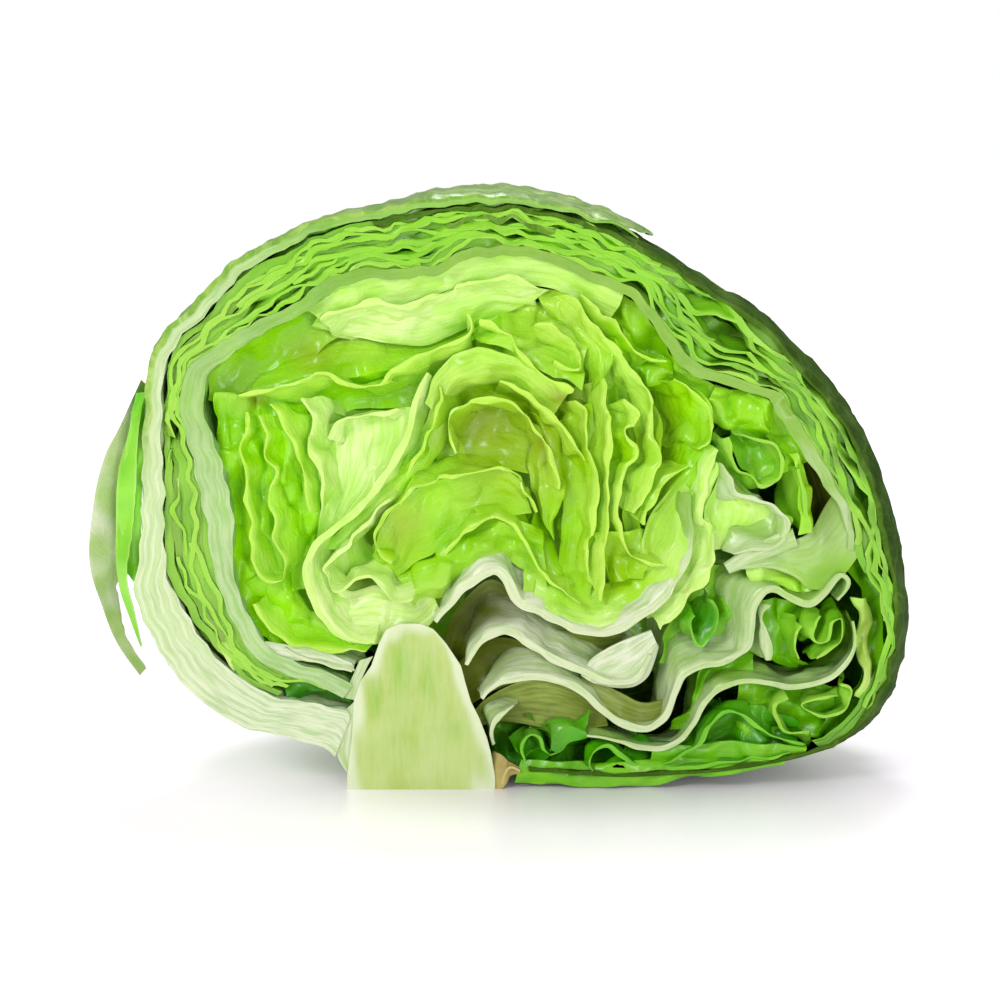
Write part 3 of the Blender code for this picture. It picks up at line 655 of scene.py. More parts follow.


# hollow: the colour that recesses and gaps are painted as painted shade
def leaf_material(name, green, shade, pale, cut, vein=0.0, bump=0.35, coat=0.45, cut_strength=0.9,
                  hollow=(134, 154, 24), shine=0.22, dull=0.0, painted_glow=0.0):
    LOOKS[name], nodes = new_material(name + "_skin")
    colours = {"Green": green, "Shade": shade, "Pale": pale, "Cut": cut, "Olive": hollow}
    inputs = {key: srgb(*colour) for key, colour in colours.items()}
    inputs["Cut strength"] = cut_strength
    inputs["Layering"] = LAYERING.get(name, 0.0)
    if vein:
        net = nodes.node("Group", node_tree=veins.tree).outputs["Veins"]
        inputs["Skin veins" if name == "pale_rib" else "Veins"] = nodes.times(net, vein)
    look = nodes.node("Group", node_tree=skin.tree)
    for key, value in inputs.items():
        nodes.put(value, look.inputs[key])
    nodes.shader({
        "Base Color": look.outputs["Colour"],
        "Roughness": nodes.plus(look.outputs["Gloss"], dull, clamp=True),
        "Normal": nodes.bump(bump, BUMP_HEIGHT, look.outputs["Height"]),
        "Coat Weight": coat, "Coat Roughness": COAT_ROUGHNESS, "Specular IOR Level": shine,
    })
    if painted_glow:
        # painted light: the leaf gives off a faint light in its own colour, standing in for light that comes
        # through thin young leaves into the folds
        nodes.shader({"Emission Color": look.outputs["Colour"], "Emission Strength": painted_glow})


leaf_material("heart_lime", (148, 220, 0), (118, 188, 0), (202, 236, 108), (190, 230, 82), bump=0.5,
              painted_glow=0.06)
leaf_material("heart_pale", (162, 228, 24), (138, 212, 4), (212, 234, 150), (202, 232, 120), bump=0.45,
              painted_glow=0.06)
leaf_material("strip_lime", (130, 214, 20), (96, 190, 6), (200, 232, 130), (190, 228, 110))
leaf_material("mid_green", (124, 204, 8), (88, 168, 4), (178, 220, 92), (150, 208, 52), hollow=(50, 96, 8))
leaf_material("outer_green", (88, 138, 26), (56, 104, 12), (164, 194, 104), (136, 176, 66), **OUTSIDE)
# painted shade: a deeper copy of the outer green for the right side, which faces away from the key light
leaf_material("outer_painted_shade", (52, 88, 10), (32, 64, 4), (106, 140, 56), (116, 164, 50), **OUTSIDE)
leaf_material("deep_green", (76, 172, 0), (38, 124, 0), (160, 212, 80), (124, 204, 30))
leaf_material("scar", (190, 178, 96), (150, 120, 58), (214, 206, 150), (206, 196, 130), coat=0.0)
# painted shade: dull brownish green sheets that stand for the shade deep in the pockets
leaf_material("hollow_olive", (96, 110, 14), (72, 86, 8), (176, 196, 100), CREAM, coat=0.1,
              hollow=(70, 80, 10), shine=0.1)
leaf_material("pale_rib", (116, 182, 14), (86, 152, 4), (226, 232, 204), CREAM, vein=0.6)
leaf_material("white_rib", (140, 192, 50), (112, 168, 24), (224, 230, 200), (212, 224, 174),
              hollow=(76, 86, 12))
leaf_material("loose_pale", (184, 208, 138), (146, 188, 90), (222, 228, 200), (222, 226, 200), vein=0.2,
              coat=0.0, shine=0.1)
print("leaf materials:", list(LOOKS))

# %% [markdown]
# ## Wrapper leaves
# These are the big outer leaves, nested in the head's form. A leaf starts at the stem, spreads over
# its side of the head, and ends in a rounded margin. Two of them have the thick pale ribs that ring
# the cut face on the left; the others are thin and crowd into fine layers on top and on the right.

# %% Wrapper leaves: the facts
X, Y, Z = np.eye(3)
SIDES = {"left": (-X, Y), "right": (X, Y), "back": (Y, X)}
WRAPPERS = {
    # name: side, degrees where it starts and ends, half its width in degrees, how deep it lies in the
    # band as a share, on the left and elsewhere, and its material
    "outer_back_leaf": ("back", 14, 104, 52, 0, 0, "outer_green"),
    "first_rib_leaf": ("left", 31, 214, 84, 0, 0, "pale_rib"),
    "outer_right_leaf": ("right", 5.5, 206, 84, 0, 0, "outer_painted_shade"),
    "top_back_leaf": ("back", 30, 180, 54, 0.3, 0.3, "outer_green"),
    "left_thin_leaf": ("left", 40, 236, 66, 0.66, 0.46, "mid_green"),
    "right_thin_leaf": ("right", 58, 226, 66, 0.62, 0.62, "mid_green"),
    "upper_right_leaf": ("right", 112, 222, 60, 0.78, 0.78, "mid_green"),
    "second_rib_leaf": ("left", 36, 281, 70, 1, 1, "pale_rib"),
}
# Thin leaves that only the looks need, packed between the others: the same facts without the material
FINE_LAYERS = [
    ("right", 58, 232, 40, 0.16, 0.16), ("right", 62, 236, 36, 0.32, 0.32), ("right", 70, 206, 34, 0.5, 0.5),
    ("left", 98, 216, 30, 0.2, 0.2), ("right", 80, 206, 30, 0.9, 0.9), ("left", 98, 170, 26, 0.72, 0.72),
    ("left", 96, 160, 26, 0.9, 0.9), ("left", 48, 77, 26, 0.25, 0.25), ("left", 46, 79, 26, 0.45, 0.45),
]
SET_BACK_LAYERS = [
    ("left", 46, 230, 26, -0.05, -0.03), ("left", 48, 232, 26, 0.17, 0.2), ("left", 48, 230, 26, 0.34, 0.4),
    ("left", 48, 230, 26, 0.5, 0.6), ("left", 48, 228, 26, 0.67, 0.8), ("left", 46, 160, 26, 0.84, 0.9),
    ("right", 50, 150, 26, 0, 0), ("right", 50, 152, 26, 0.2, 0.2), ("right", 50, 150, 26, 0.4, 0.4),
    ("right", 50, 152, 26, 0.6, 0.6), ("right", 50, 150, 26, 0.8, 0.8),
]
NUMBERS = ("one", "two", "three", "four", "five", "six", "seven", "eight", "nine", "ten", "eleven")
LAYERS = {
    prefix + number: (*facts, "mid_green")
    for prefix, rows in (("fine_layer_", FINE_LAYERS), ("set_back_", SET_BACK_LAYERS))
    for number, facts in zip(NUMBERS, rows)
}
THIN = 0.8
RIBS = {
    # name: thickness beside the rib, width of the rib in degrees, then its thickness along the leaf
    "first_rib_leaf": (0.9, 14, 9.0, (-0.8, 50, 70), (-3.8, 68, 83), (-1.1, 84, 104), (-1.6, 120, 160),
                       (-0.6, 165, 195)),
    "second_rib_leaf": (1.0, 16, 3.4, (2.3, 66, 86), (-1.9, 104, 132), (-1.0, 135, 170), (1.4, 222, 245)),
    "outer_back_leaf": (1.0, 22, 2.8, (-1.8, 30, 100)),
}
RIB_PALENESS = {
    "first_rib_leaf": (1, (-0.25, 88, 104), (-0.65, 106, 150)),
    "second_rib_leaf": (0.44, (-0.2, 84, 108), (-0.16, 108, 140)),
    "outer_back_leaf": (0.6, (-0.5, 30, 90)),
}
PALE_WIDTH, PALE_WIDTH_SECOND = 13, 24
MARGIN_FADE = (-25, -13)
print("wrapper leaves:", len(WRAPPERS), "and", len(LAYERS), "fine layers")

# %% [markdown]
# Two more things shape these leaves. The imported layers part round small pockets, and the leaves on the
# left end at the stem.

# %% Pockets and the stem's sides
# Pockets: middle on the grid, half length and opening in millimetres
POCKETS = [
    (448, 205, 4.5, 0.5), (540, 218, 5.5, 0.5), (516, 230, 4.0, 0.5), (574, 236, 2.5, 0.5),
    (518, 246, 3.5, 0.5), (330, 286, 4.0, 0.9), (290, 302, 4.5, 1.0), (262, 316, 3.5, 0.8),
    (410, 252, 3.0, 0.6), (636, 298, 4.0, 2.2), (700, 306, 4.0, 1.6), (726, 332, 5.0, 2.2),
    (672, 344, 2.6, 1.0), (722, 364, 3.2, 1.4), (762, 390, 2.2, 0.8), (812, 388, 5.0, 0.7),
    (852, 456, 4.0, 1.4), (862, 492, 4.0, 1.2), (179, 416, 4.0, 0.8), (874, 590, 5.0, 1.2),
    (880, 640, 4.5, 1.2),
]
# The stem: height, left edge and right edge in millimetres
STEM_ROWS = np.array([
    (0.0, -30.6, -0.8), (2.6, -30.6, -0.8), (7.5, -30.0, -1.6), (10.6, -29.6, -2.4), (14.8, -29.3, -4.0),
    (18.0, -29.2, -5.6), (22.2, -27.8, -6.8), (25.4, -25.6, -7.6), (30.0, -24.0, -10.6),
    (32.8, -22.6, -13.0), (34.0, -19.8, -15.6),
])


def stem_edges(z):
    return [np.interp(z, STEM_ROWS[:, 0], STEM_ROWS[:, i]) for i in (1, 2)]


def pockets(x, z):
    """How much painted shade a place gets inside a pocket, and how far the pocket pushes a layer outwards."""
    hollow, push = np.zeros_like(x), np.zeros_like(x)
    for *middle, length, opening in POCKETS:
        across, up = face_point(middle)
        radial = np.hypot(x - CENTRE_X, z - CENTRE_Z) - math.hypot(across - CENTRE_X, up - CENTRE_Z)
        sideways = np.sqrt(np.maximum((x - across) ** 2 + (z - up) ** 2 - radial ** 2, 0))
        near_by = np.exp(-(sideways / length) ** 2)
        hollow = np.maximum(hollow, near_by * np.exp(-(radial / (opening + 0.6)) ** 2))
        push = push + near_by * opening * radial / np.sqrt(radial ** 2 + 0.2) * np.exp(-(radial / 4) ** 2)
    return hollow, push


print("pockets:", len(POCKETS), "and a stem", STEM_ROWS[-1][0], "mm tall")

# %% [markdown]
# ## Where a wrapper leaf lies
# A leaf is as wide as its facts say, and narrower at its foot and its tip. Each leaf lies as deep as
# the thick leaves over it ask for, and the thin ones share the room between the two ribs.

# %% Wrapper leaves: width, thickness and depth
def blade_width(facts, along):
    _, start, end, widest, *_ = facts
    share = (along - start) / (end - start)
    narrow = 0.55 + 0.45 * ease(share, 0, 0.3)
    return widest * narrow * np.sqrt(np.maximum(0.05, 1 - np.maximum(0, (share - 0.3) / 0.7) ** 4))


def leaf_direction(side, along, degrees):
    """The direction from the head's centre for degrees along a leaf and degrees across it."""
    along_axis, across_axis = SIDES[side]
    around, across = np.radians(along)[:, None], np.radians(degrees)[:, None]
    level = -Z * np.cos(around) + along_axis * np.sin(around)
    return level * np.cos(across) + across_axis * np.sin(across)


def leaf_angles(side, direction):
    along_axis, across_axis = SIDES[side]
    along = np.degrees(np.arctan2(direction @ along_axis, -direction[..., 2])) % 360
    return along, np.degrees(np.arcsin(np.clip(direction @ across_axis, -1, 1)))


def cover(name, direction):
    """1 where a wrapper leaf lies over this direction, falling to 0 past its margin."""
    side, start, end, *_ = WRAPPERS[name]
    along, across = leaf_angles(side, direction)
    along = np.where(along > 300, along - 360, along)
    width = blade_width(WRAPPERS[name], np.clip(along, start, end))
    return ease(np.minimum(np.minimum(along - start, end - along), width - np.abs(across)), *MARGIN_FADE)


def wrapper_thickness(name, direction):
    if name not in RIBS:
        return THIN
    beside, width, *rib = RIBS[name]
    along, across = leaf_angles(WRAPPERS[name][0], direction)
    return beside + (steps(along, *rib) - beside) * np.exp(-(across / width) ** 2)


def under_leaf(name, direction):
    """How far a thick leaf and the gap under it push the next leaf inwards."""
    clear = CLEAR + LOOSER * ease(direction[..., 1], 0.1, 0.4)
    return cover(name, direction) * (wrapper_thickness(name, direction) + clear)


def band_room(direction):
    """The depths between which the thin layers lie: under the first rib and over the second."""
    top = under_leaf("outer_back_leaf", direction) + under_leaf("first_rib_leaf", direction)
    turn = np.degrees(np.arcsin(np.clip(direction[..., 1], 0, 1)))
    return top, band_width(round_angle(direction), turn) - wrapper_thickness("second_rib_leaf", direction) / 2


def packed_room(direction):
    top, bottom = band_room(direction)
    return bottom - top


def wrapper_depth(name, facts, direction):
    """How deep under the head's surface the outer face of a wrapper leaf lies."""
    if name == "outer_back_leaf":
        return 0.0
    if name == "first_rib_leaf":
        return under_leaf("outer_back_leaf", direction)
    top, bottom = band_room(direction)
    left, rest = facts[4:6]
    return top + (left + (rest - left) * ease(round_angle(direction), 95, 108)) * (bottom - top)


room = packed_room(np.array([[0.0, 0.0, 1.0]]))
print("room for thin layers on top:", round(float(room[0]), 1), "mm")

# %% [markdown]
# ## How a wrapper leaf is laid
# The leaf's grid becomes degrees along and across, and these become a direction from the centre. The
# leaf lies as deep under the surface as the leaves over it ask for. Thin layers wave a little, part
# round the pockets, and no two of their cut edges lie in one plane, or they would show black where
# they cross. Layers that are set back behind the cut fill the gaps between the others, painted
# darker there as painted shade.

# %% Wrapper leaves: made
WRAPPER_STEP = 1.3
STEM_GAP = 0.6
STEM_SIDE_TOP, STEM_SIDE_BACK = 30, CUT_Y + 18
RUN = 65


def wrapper_leaf(name, facts):
    side, start, end, widest, _, _, material = facts
    both_ways, set_back = side == "back", name.startswith("set_back")
    thin = name not in RIBS
    packed = thin and name != "outer_right_leaf"
    columns = round((end - start) / WRAPPER_STEP)
    rows = round(widest * (2 if both_ways else 0.8) / WRAPPER_STEP)
    seed = sum(ord(letter) for letter in name) * 1.7

    def cut_shift(along):
        """How many degrees the cut edge of a thin layer lies back from the face."""
        if not set_back:
            return 0.04 + 0.25 * (seed % 1) + 0.05 * np.sin(along / 2 + seed)
        edge = leaf_direction(side, along, 0 * along)
        edge = wrapper_point(edge, wrapper_depth(name, facts, edge) + 0.1 * packed_room(edge)) / MM
        return 0.55 + 0.2 * np.sin(along / 3 + seed) + 7 * pockets(edge[:, 0], edge[:, 2])[0]

    def shape(along, direction, x, y, z):
        """The leaf's depth and thickness at each corner."""
        inward, thickness = wrapper_depth(name, facts, direction), wrapper_thickness(name, direction)
        near = 1 - ease(direction[:, 1], 0.1, 0.5)
        if thin:
            thickness = thickness * (1.15 + 0.3 * uneven(x, y + seed, z))
        if set_back:
            thickness = 0.2 * packed_room(direction) + 0.2
            inward = inward + near * 0.3 * thin_wave(x, y, z)
        elif packed:
            inward = inward + near * (0.55 * thin_wave(x + seed, y, z) + 0.3 * thin_wave_fine(x, y + seed, z))
            inward = inward - near * pockets(x, z)[1]
        if packed:
            least = band_room(direction)[0] - 0.6 + 1.05 * ease(round_angle(direction), 195, 215)
            inward = np.maximum(inward, least)
        if name == "first_rib_leaf":
            thickness = thickness * (0.15 + 0.85 * ease(end - along, 0, 22))
        if name == "second_rib_leaf":
            thickness = thickness * (1 - 0.3 * ease(along, 92, 118)) * (1 - 0.6 * ease(along, 264, 281))
        return inward, thickness

    def marks(v, along, degrees, direction, x, y, z):
        """How pale, cut and warm the leaf is at each corner, and how much painted shade it gets."""
        first, second = name == "first_rib_leaf", name == "second_rib_leaf"
        rib = np.exp(-(degrees / (PALE_WIDTH_SECOND if second else PALE_WIDTH)) ** 2)
        paleness = steps(along, *RIB_PALENESS.get(name, (0.15,)))
        share = 0.2 + 0.8 * (1.7 * seed % 1)
        if first:
            share = (0.15 + 0.85 * paleness) * (0.35 + 0.65 * ease(along, 42, 74))
            share = share * (1 - ease(along, 196, 212))
        if second:
            share = 0.02 + 0.7 * paleness
        olive = 0.2 * ease(along, 130, 170) * second
        if name in LAYERS:
            paleness = 0.3 * (1 + np.sin(seed)) * (0.7 + 0.5 * tint_wave(x, y + seed, z))
            rib = 1
        # painted shade: set-back layers are painted darker, most of all in the pockets
        if set_back:
            share = share * 0.3
            olive = np.maximum(pockets(x, z)[0], 0.4 + 0.2 * np.sin(seed))
        if thin:
            round_by = round_angle(direction)
            # painted shade: thin layers turn darker towards the right side, away from the key light
            right_side_shade = ease(round_by, 200, 250) * (0.3 + 0.25 * tint_wave(2 * x, y + seed, 2 * z))
            olive = np.maximum(olive, np.clip(right_side_shade, 0, 1))
            paleness = paleness + 0.5 * (1 - ease(round_by, 110, 160))
        paleness = np.maximum(paleness, spots(BEIGE_SPOTS, x, z))
        return {
            "pale": np.clip(rib * paleness, 0, 1), "cut": share * (v < 1e-6) * (not both_ways),
            "olive": olive, "warm": 0.12 * ease(along, 84, 110) * second,
            "green_skin": ease(along, 84, 104) * first, "run": np.radians(along) * RUN, "deep": degrees,
        }

    def lay(u, v, face):
        along = start + (end - start) * u
        degrees = (2 * v - 1 if both_ways else v ** 1.5) * blade_width(facts, along)
        if name == "first_rib_leaf":
            along = along - ease(u, 0.8, 1) * (5 + 3 * np.sin(9 * v))
        if thin:
            degrees = degrees + cut_shift(along) * (1 - v)
        direction = leaf_direction(side, along, degrees)
        x, y, z = wrapper_point(direction, wrapper_depth(name, facts, direction)).T / MM
        inward, thickness = shape(along, direction, x, y, z)
        wrinkle = 0.22 * thin_wave_fine(x, y, z) * ease(z, 2, 12)
        points = wrapper_point(direction, inward + thickness * face, wrinkle)
        if side == "left":
            low = (points[:, 2] < STEM_SIDE_TOP * MM) & (points[:, 1] < STEM_SIDE_BACK * MM)
            limit = (stem_edges(points[:, 2] / MM)[0] - STEM_GAP) * MM
            points[:, 0] = np.where(low, np.minimum(points[:, 0], limit), points[:, 0])
        return points, {**marks(v, along, degrees, direction, x, y, z), "thick": thickness * face}

    finish_leaf(name, sheet(columns, rows), lay, material, name if name in WRAPPERS else None)


for name, facts in {**WRAPPERS, **LAYERS}.items():
    wrapper_leaf(name, facts)
print("wrapper leaves and layers made:", len(WRAPPERS) + len(LAYERS))

# %% [markdown]
# ## Inner leaves run back into the head
# The leaves of the heart are crumpled sheets that run back from their cut edges. One rule moves all of
# them on the way: they lean towards the heart, as young leaves crowd round the growing point, so their
# faces turn to the light. The rule is smooth, so leaves that are apart in the face stay apart.

# %% The rule for inner leaves
HEART = (480, 430)
LEAN = 1.2
LEAN_CORE = 24.0
RIBBON_ROOM = 58.0
HEART_X, HEART_Z = face_point(HEART)


def ribbon_point(x, z, back, ripple=1.0):
    angle = np.degrees(np.arctan2(CENTRE_X - x, CENTRE_Z - z))
    level = np.hypot(x - CENTRE_X, z - CENTRE_Z) / outline_radius(angle)
    strength = LEAN * (1 - ease(level, 0.62, 0.92)) * ease(z, 6, 34)
    across, up = HEART_X - x, HEART_Z - z
    far = np.sqrt(across ** 2 + up ** 2 + LEAN_CORE ** 2)
    x = x + back * strength * across / far
    z = z + back * strength * up / far
    bend = 0.8 * ripple * ease(back, 0, 6)
    frill = ripple * (0.2 + 0.25 * ease(back, 0, 3))
    x = x + bend * bend_x(x, back, z) + frill * frill_x(x, back, z)
    z = z + bend * bend_z(x, back, z) + frill * frill_z(x, back, z)
    keep = round_off(angle, back / RIBBON_ROOM)
    return place(CENTRE_X + (x - CENTRE_X) * keep, back, CENTRE_Z + (z - CENTRE_Z) * keep)


print("a leaf that starts at", (0, 60), "ends at", in_mm([ribbon_point(0, 60, 12)])[0], "12 mm further back")

# %% [markdown]
# ## Inner leaves
# Each of these starts as its cut edge, drawn on the grid. After the edge come its thickness and
# depth in millimetres, how pale it is, and its material. Young leaves are thin and lime green, and the
# ribs near the stem are thick and almost white.

# %% Inner leaves: the drawn edges
INNER_LEAVES = {
    "upper_blade": (
        [(322, 318), (340, 309), (358, 302), (376, 299), (396, 305), (420, 300), (441, 288), (467, 281),
         (492, 277), (518, 277), (540, 284)], 1.1, 12, 0.55, "heart_pale"),
    "upper_ridge_leaf": (
        [(240, 392), (262, 390), (284, 384), (306, 375), (330, 372), (348, 380), (366, 379), (388, 371),
         (406, 361), (432, 349), (458, 339), (471, 326), (467, 313)], 1.2, 10, 0.5, "heart_lime"),
    "crown_ridge_leaf": (
        [(480, 318), (494, 321), (506, 331), (515, 345), (527, 358), (541, 372), (557, 381), (573, 387)],
        1.2, 9, 0.35, "heart_lime"),
    "shiny_band_leaf": (
        [(578, 293), (593, 302), (608, 315), (619, 333), (631, 345), (647, 355), (661, 360)], 1.0, 11, 0.2,
        "heart_lime"),
    "hollow_rim_leaf": (
        [(455, 450), (446, 432), (452, 410), (467, 400), (490, 397), (512, 401), (524, 413), (534, 428),
         (546, 439), (549, 456), (554, 474), (555, 487)], 1.3, 8, 0.2, "heart_lime"),
    "pointed_leaf": ([(500, 378), (522, 390), (542, 404), (560, 422), (573, 440), (582, 458)], 1.2, 8, 0.3,
                     "heart_lime"),
    "left_twin_leaf": (
        [(577, 400), (588, 410), (586, 425), (588, 441), (592, 455), (594, 480), (593, 510), (591, 545),
         (588, 578)], 1.0, 8, 0.2, "heart_lime"),
    "right_twin_leaf": (
        [(607, 372), (607, 410), (608, 450), (607, 490), (605, 530), (602, 570), (599, 598)], 1.0, 10, 0.4,
        "heart_lime"),
    "squiggle_leaf": (
        [(622, 398), (634, 407), (633, 420), (624, 428), (627, 438), (636, 447), (635, 458), (626, 467),
         (620, 478), (619, 494), (619, 512), (619, 528), (623, 543), (632, 553), (648, 560), (664, 563)],
        1.0, 8, 0.35, "heart_lime"),
    "curved_leaf": (
        [(556, 290), (574, 301), (590, 316), (602, 332), (615, 348), (628, 364), (640, 382), (651, 399),
         (659, 418), (661, 438), (658, 458), (649, 479), (640, 498), (634, 514)], 1.0, 11, 0.4, "heart_lime"),
    "bright_blade": ([(672, 376), (690, 385), (704, 397), (712, 414), (709, 432), (698, 447)], 1.0, 12, 0.1,
                     "heart_lime"),
    "lower_bright_blade": ([(688, 464), (670, 479), (656, 494), (648, 510), (645, 526)], 1.0, 10, 0.2,
                           "heart_lime"),
    "heart_lobe": (
        [(534, 322), (548, 325), (562, 334), (576, 340), (584, 352), (579, 364), (566, 367), (553, 360)],
        1.0, 8, 0.3, "heart_lime"),
    "crinkled_twin_leaf": ([(440, 384), (440, 402), (431, 424), (422, 444), (412, 462), (406, 470)], 1.1, 8,
                           0.2, "heart_lime"),
    "tongue_leaf": (
        [(390, 560), (379, 554), (373, 540), (378, 524), (393, 505), (413, 487), (436, 479), (458, 472),
         (484, 466), (500, 467), (516, 478), (527, 493), (533, 508)], 1.1, 8, 0.15, "heart_lime"),
    "under_tongue_leaf": (
        [(432, 582), (441, 563), (455, 543), (470, 526), (490, 516), (508, 520), (524, 537), (534, 557),
         (548, 578), (566, 594), (578, 602)], 1.1, 8, 0.15, "heart_lime"),
    "white_arch_leaf": (
        [(434, 622), (446, 606), (461, 589), (477, 574), (492, 568), (504, 574), (512, 590), (521, 605),
         (537, 609), (552, 618), (575, 628), (604, 631), (628, 623), (648, 610), (664, 594), (678, 577),
         (688, 556), (691, 534), (688, 512), (687, 492)], 2.4, 14, 0.8, "white_rib"),
    "saucer_rib_leaf": (
        [(374, 640), (360, 641), (340, 634), (321, 613), (309, 587), (306, 563), (316, 543), (333, 527),
         (353, 511), (374, 487), (393, 461), (406, 435), (413, 410), (419, 388), (428, 370)], 1.7, 13, 0.6,
        "heart_pale"),
    "saucer_rim_leaf": (
        [(386, 499), (371, 514), (355, 533), (342, 548), (330, 558), (324, 569), (329, 581), (338, 590),
         (347, 584), (357, 575), (368, 573), (381, 584), (395, 601), (411, 596)], 1.1, 8, 0.75, "heart_pale"),
    "left_crinkle_leaf": (
        [(272, 400), (282, 414), (293, 437), (301, 462), (307, 488), (306, 512)],
        1.0, 10, 0.15, "heart_lime"),
    "pale_panel_side": (
        [(301, 394), (310, 409), (305, 426), (309, 444), (318, 462), (323, 484), (321, 504)], 1.1, 12, 0.45,
        "heart_pale"),
    "pale_panel_top": ([(324, 434), (335, 421), (350, 411), (368, 411), (384, 412), (396, 407)], 1.1, 10, 0.7,
                       "heart_pale"),
    "left_frill_leaf": (
        [(243, 408), (248, 427), (243, 448), (249, 470), (247, 495), (253, 520), (251, 545), (257, 568),
         (269, 581), (281, 577), (284, 563), (279, 548), (273, 534), (276, 518), (270, 498), (273, 474),
         (266, 452), (269, 432), (262, 414)], 1.0, 10, 0.15, "heart_lime"),
    "lower_left_lobe": (
        [(253, 604), (264, 622), (284, 637), (306, 646), (330, 650), (350, 651), (366, 649)], 1.1, 11, 0.2,
        "heart_lime"),
    "folded_white_leaf": ([(351, 670), (338, 665), (316, 661), (298, 655), (283, 647)], 1.2, 10, 0.9,
                          "white_rib"),
    "under_stem_rib_leaf": (
        [(466, 664), (471, 652), (481, 640), (498, 633), (516, 636), (534, 646), (552, 658), (572, 667),
         (592, 676), (612, 682), (632, 680), (644, 670), (651, 656)], 2.0, 14, 0.9, "white_rib"),
    "long_white_rib_leaf": (
        [(481, 700), (489, 690), (503, 681), (526, 676), (550, 678), (572, 686), (590, 699), (607, 715),
         (625, 726), (646, 729), (661, 721), (670, 706), (675, 690), (684, 674), (702, 664), (724, 661),
         (742, 656), (749, 643), (750, 628), (751, 612), (755, 598), (765, 588), (780, 590), (796, 600),
         (809, 602), (820, 594), (829, 581), (839, 573), (847, 579), (843, 590), (835, 598)], 2.2, 14, 0.75,
        "white_rib"),
    "lower_white_rib_leaf": (
        [(586, 737), (600, 738), (618, 742), (638, 748), (660, 750), (679, 742), (692, 726), (701, 709),
         (713, 694), (731, 684), (752, 680), (770, 682), (788, 688), (806, 686), (824, 680), (838, 671),
         (848, 660), (853, 648), (854, 634), (851, 620)], 1.7, 13, 0.6, "white_rib"),
    "white_hook_leaf": ([(494, 746), (490, 734), (492, 723), (501, 715), (513, 709)], 1.3, 7, 1.0,
                        "white_rib"),
    "right_cascade_leaf": (
        [(716, 446), (706, 464), (705, 484), (702, 500), (705, 516), (715, 531), (715, 550), (708, 568),
         (697, 584), (684, 600), (671, 616), (660, 632)], 1.4, 12, 0.5, "heart_pale"),
    "pale_cup_leaf": (
        [(720, 461), (729, 476), (738, 491), (754, 496), (772, 504), (784, 516), (786, 530), (776, 541),
         (754, 547), (736, 556)], 1.2, 10, 0.6, "white_rib"),
    "right_curl_leaf": (
        [(724, 434), (729, 448), (737, 463), (748, 475), (761, 485), (773, 482), (780, 470), (779, 456),
         (773, 445), (760, 438), (743, 434)], 1.0, 9, 0.35, "mid_green"),
    "finger_leaf": ([(794, 466), (799, 482), (802, 500), (804, 518), (804, 530)], 2.0, 9, 0.2, "mid_green"),
    "green_cup_leaf": ([(695, 612), (688, 624), (690, 637), (700, 645), (712, 637), (719, 622), (719, 606)],
                       1.0, 8, 0.1, "deep_green"),
    "rose_petal": ([(803, 626), (796, 636), (794, 648), (798, 658)], 1.0, 8, 0.3, "mid_green"),
    "rose_heart": (
        [(820, 614), (813, 624), (811, 635), (816, 644), (824, 642), (829, 632), (831, 621), (837, 616),
         (841, 622), (842, 632), (837, 643), (828, 652), (816, 658)], 0.9, 8, 0.3, "mid_green"),
    "white_tip_leaf": ([(770, 606), (768, 624), (767, 642), (768, 660)], 1.4, 9, 0.8, "white_rib"),
    "lower_roll_leaf": (
        [(841, 683), (851, 686), (854, 695), (850, 705), (840, 711), (824, 715), (810, 712), (803, 705),
         (811, 699), (824, 698), (838, 697)], 0.9, 8, 0.4, "mid_green"),
    "roll_wrap_leaf": ([(790, 701), (780, 706), (776, 717), (784, 727), (798, 733), (812, 735)], 1.0, 9, 0.35,
                       "mid_green"),
    "deep_green_ridge": (
        [(654, 765), (670, 763), (687, 754), (701, 741), (710, 725), (723, 713), (738, 713), (752, 723),
         (768, 735), (786, 743), (804, 746)], 1.1, 12, 0.1, "deep_green"),
    "bottom_blade": (
        [(592, 772), (588, 763), (595, 752), (607, 749), (620, 757), (638, 768), (664, 771), (690, 768),
         (716, 765), (742, 763), (768, 758), (792, 753)], 1.0, 12, 0.1, "deep_green"),
    "frill_leaf": (
        [(523, 764), (521, 749), (528, 736), (538, 739), (543, 752), (552, 760), (561, 750), (567, 738)],
        1.0, 8, 0.1, "deep_green"),
    "rolled_margin": (
        [(175, 446), (171, 458), (175, 470), (181, 480), (179, 494), (173, 505), (177, 518), (185, 528),
         (187, 545), (185, 558)], 1.0, 8, 0.4, "mid_green"),
    "leaf_scar": ([(500, 789), (503, 777), (510, 770), (519, 773)], 1.6, 5, 0.3, "scar"),
}
print("inner leaves drawn:", len(INNER_LEAVES))

# %% [markdown]
# ## How an inner leaf is laid
# The edge is cut into even steps, thickened to both sides, thinner towards its ends, and run back by
# the rule. Rims wave to and fro. Thick ribs swell towards their middle and fade to green on the right.

# %% Inner leaves: made
INNER_STEP = 0.7
RIB_THICKNESS = 1.5


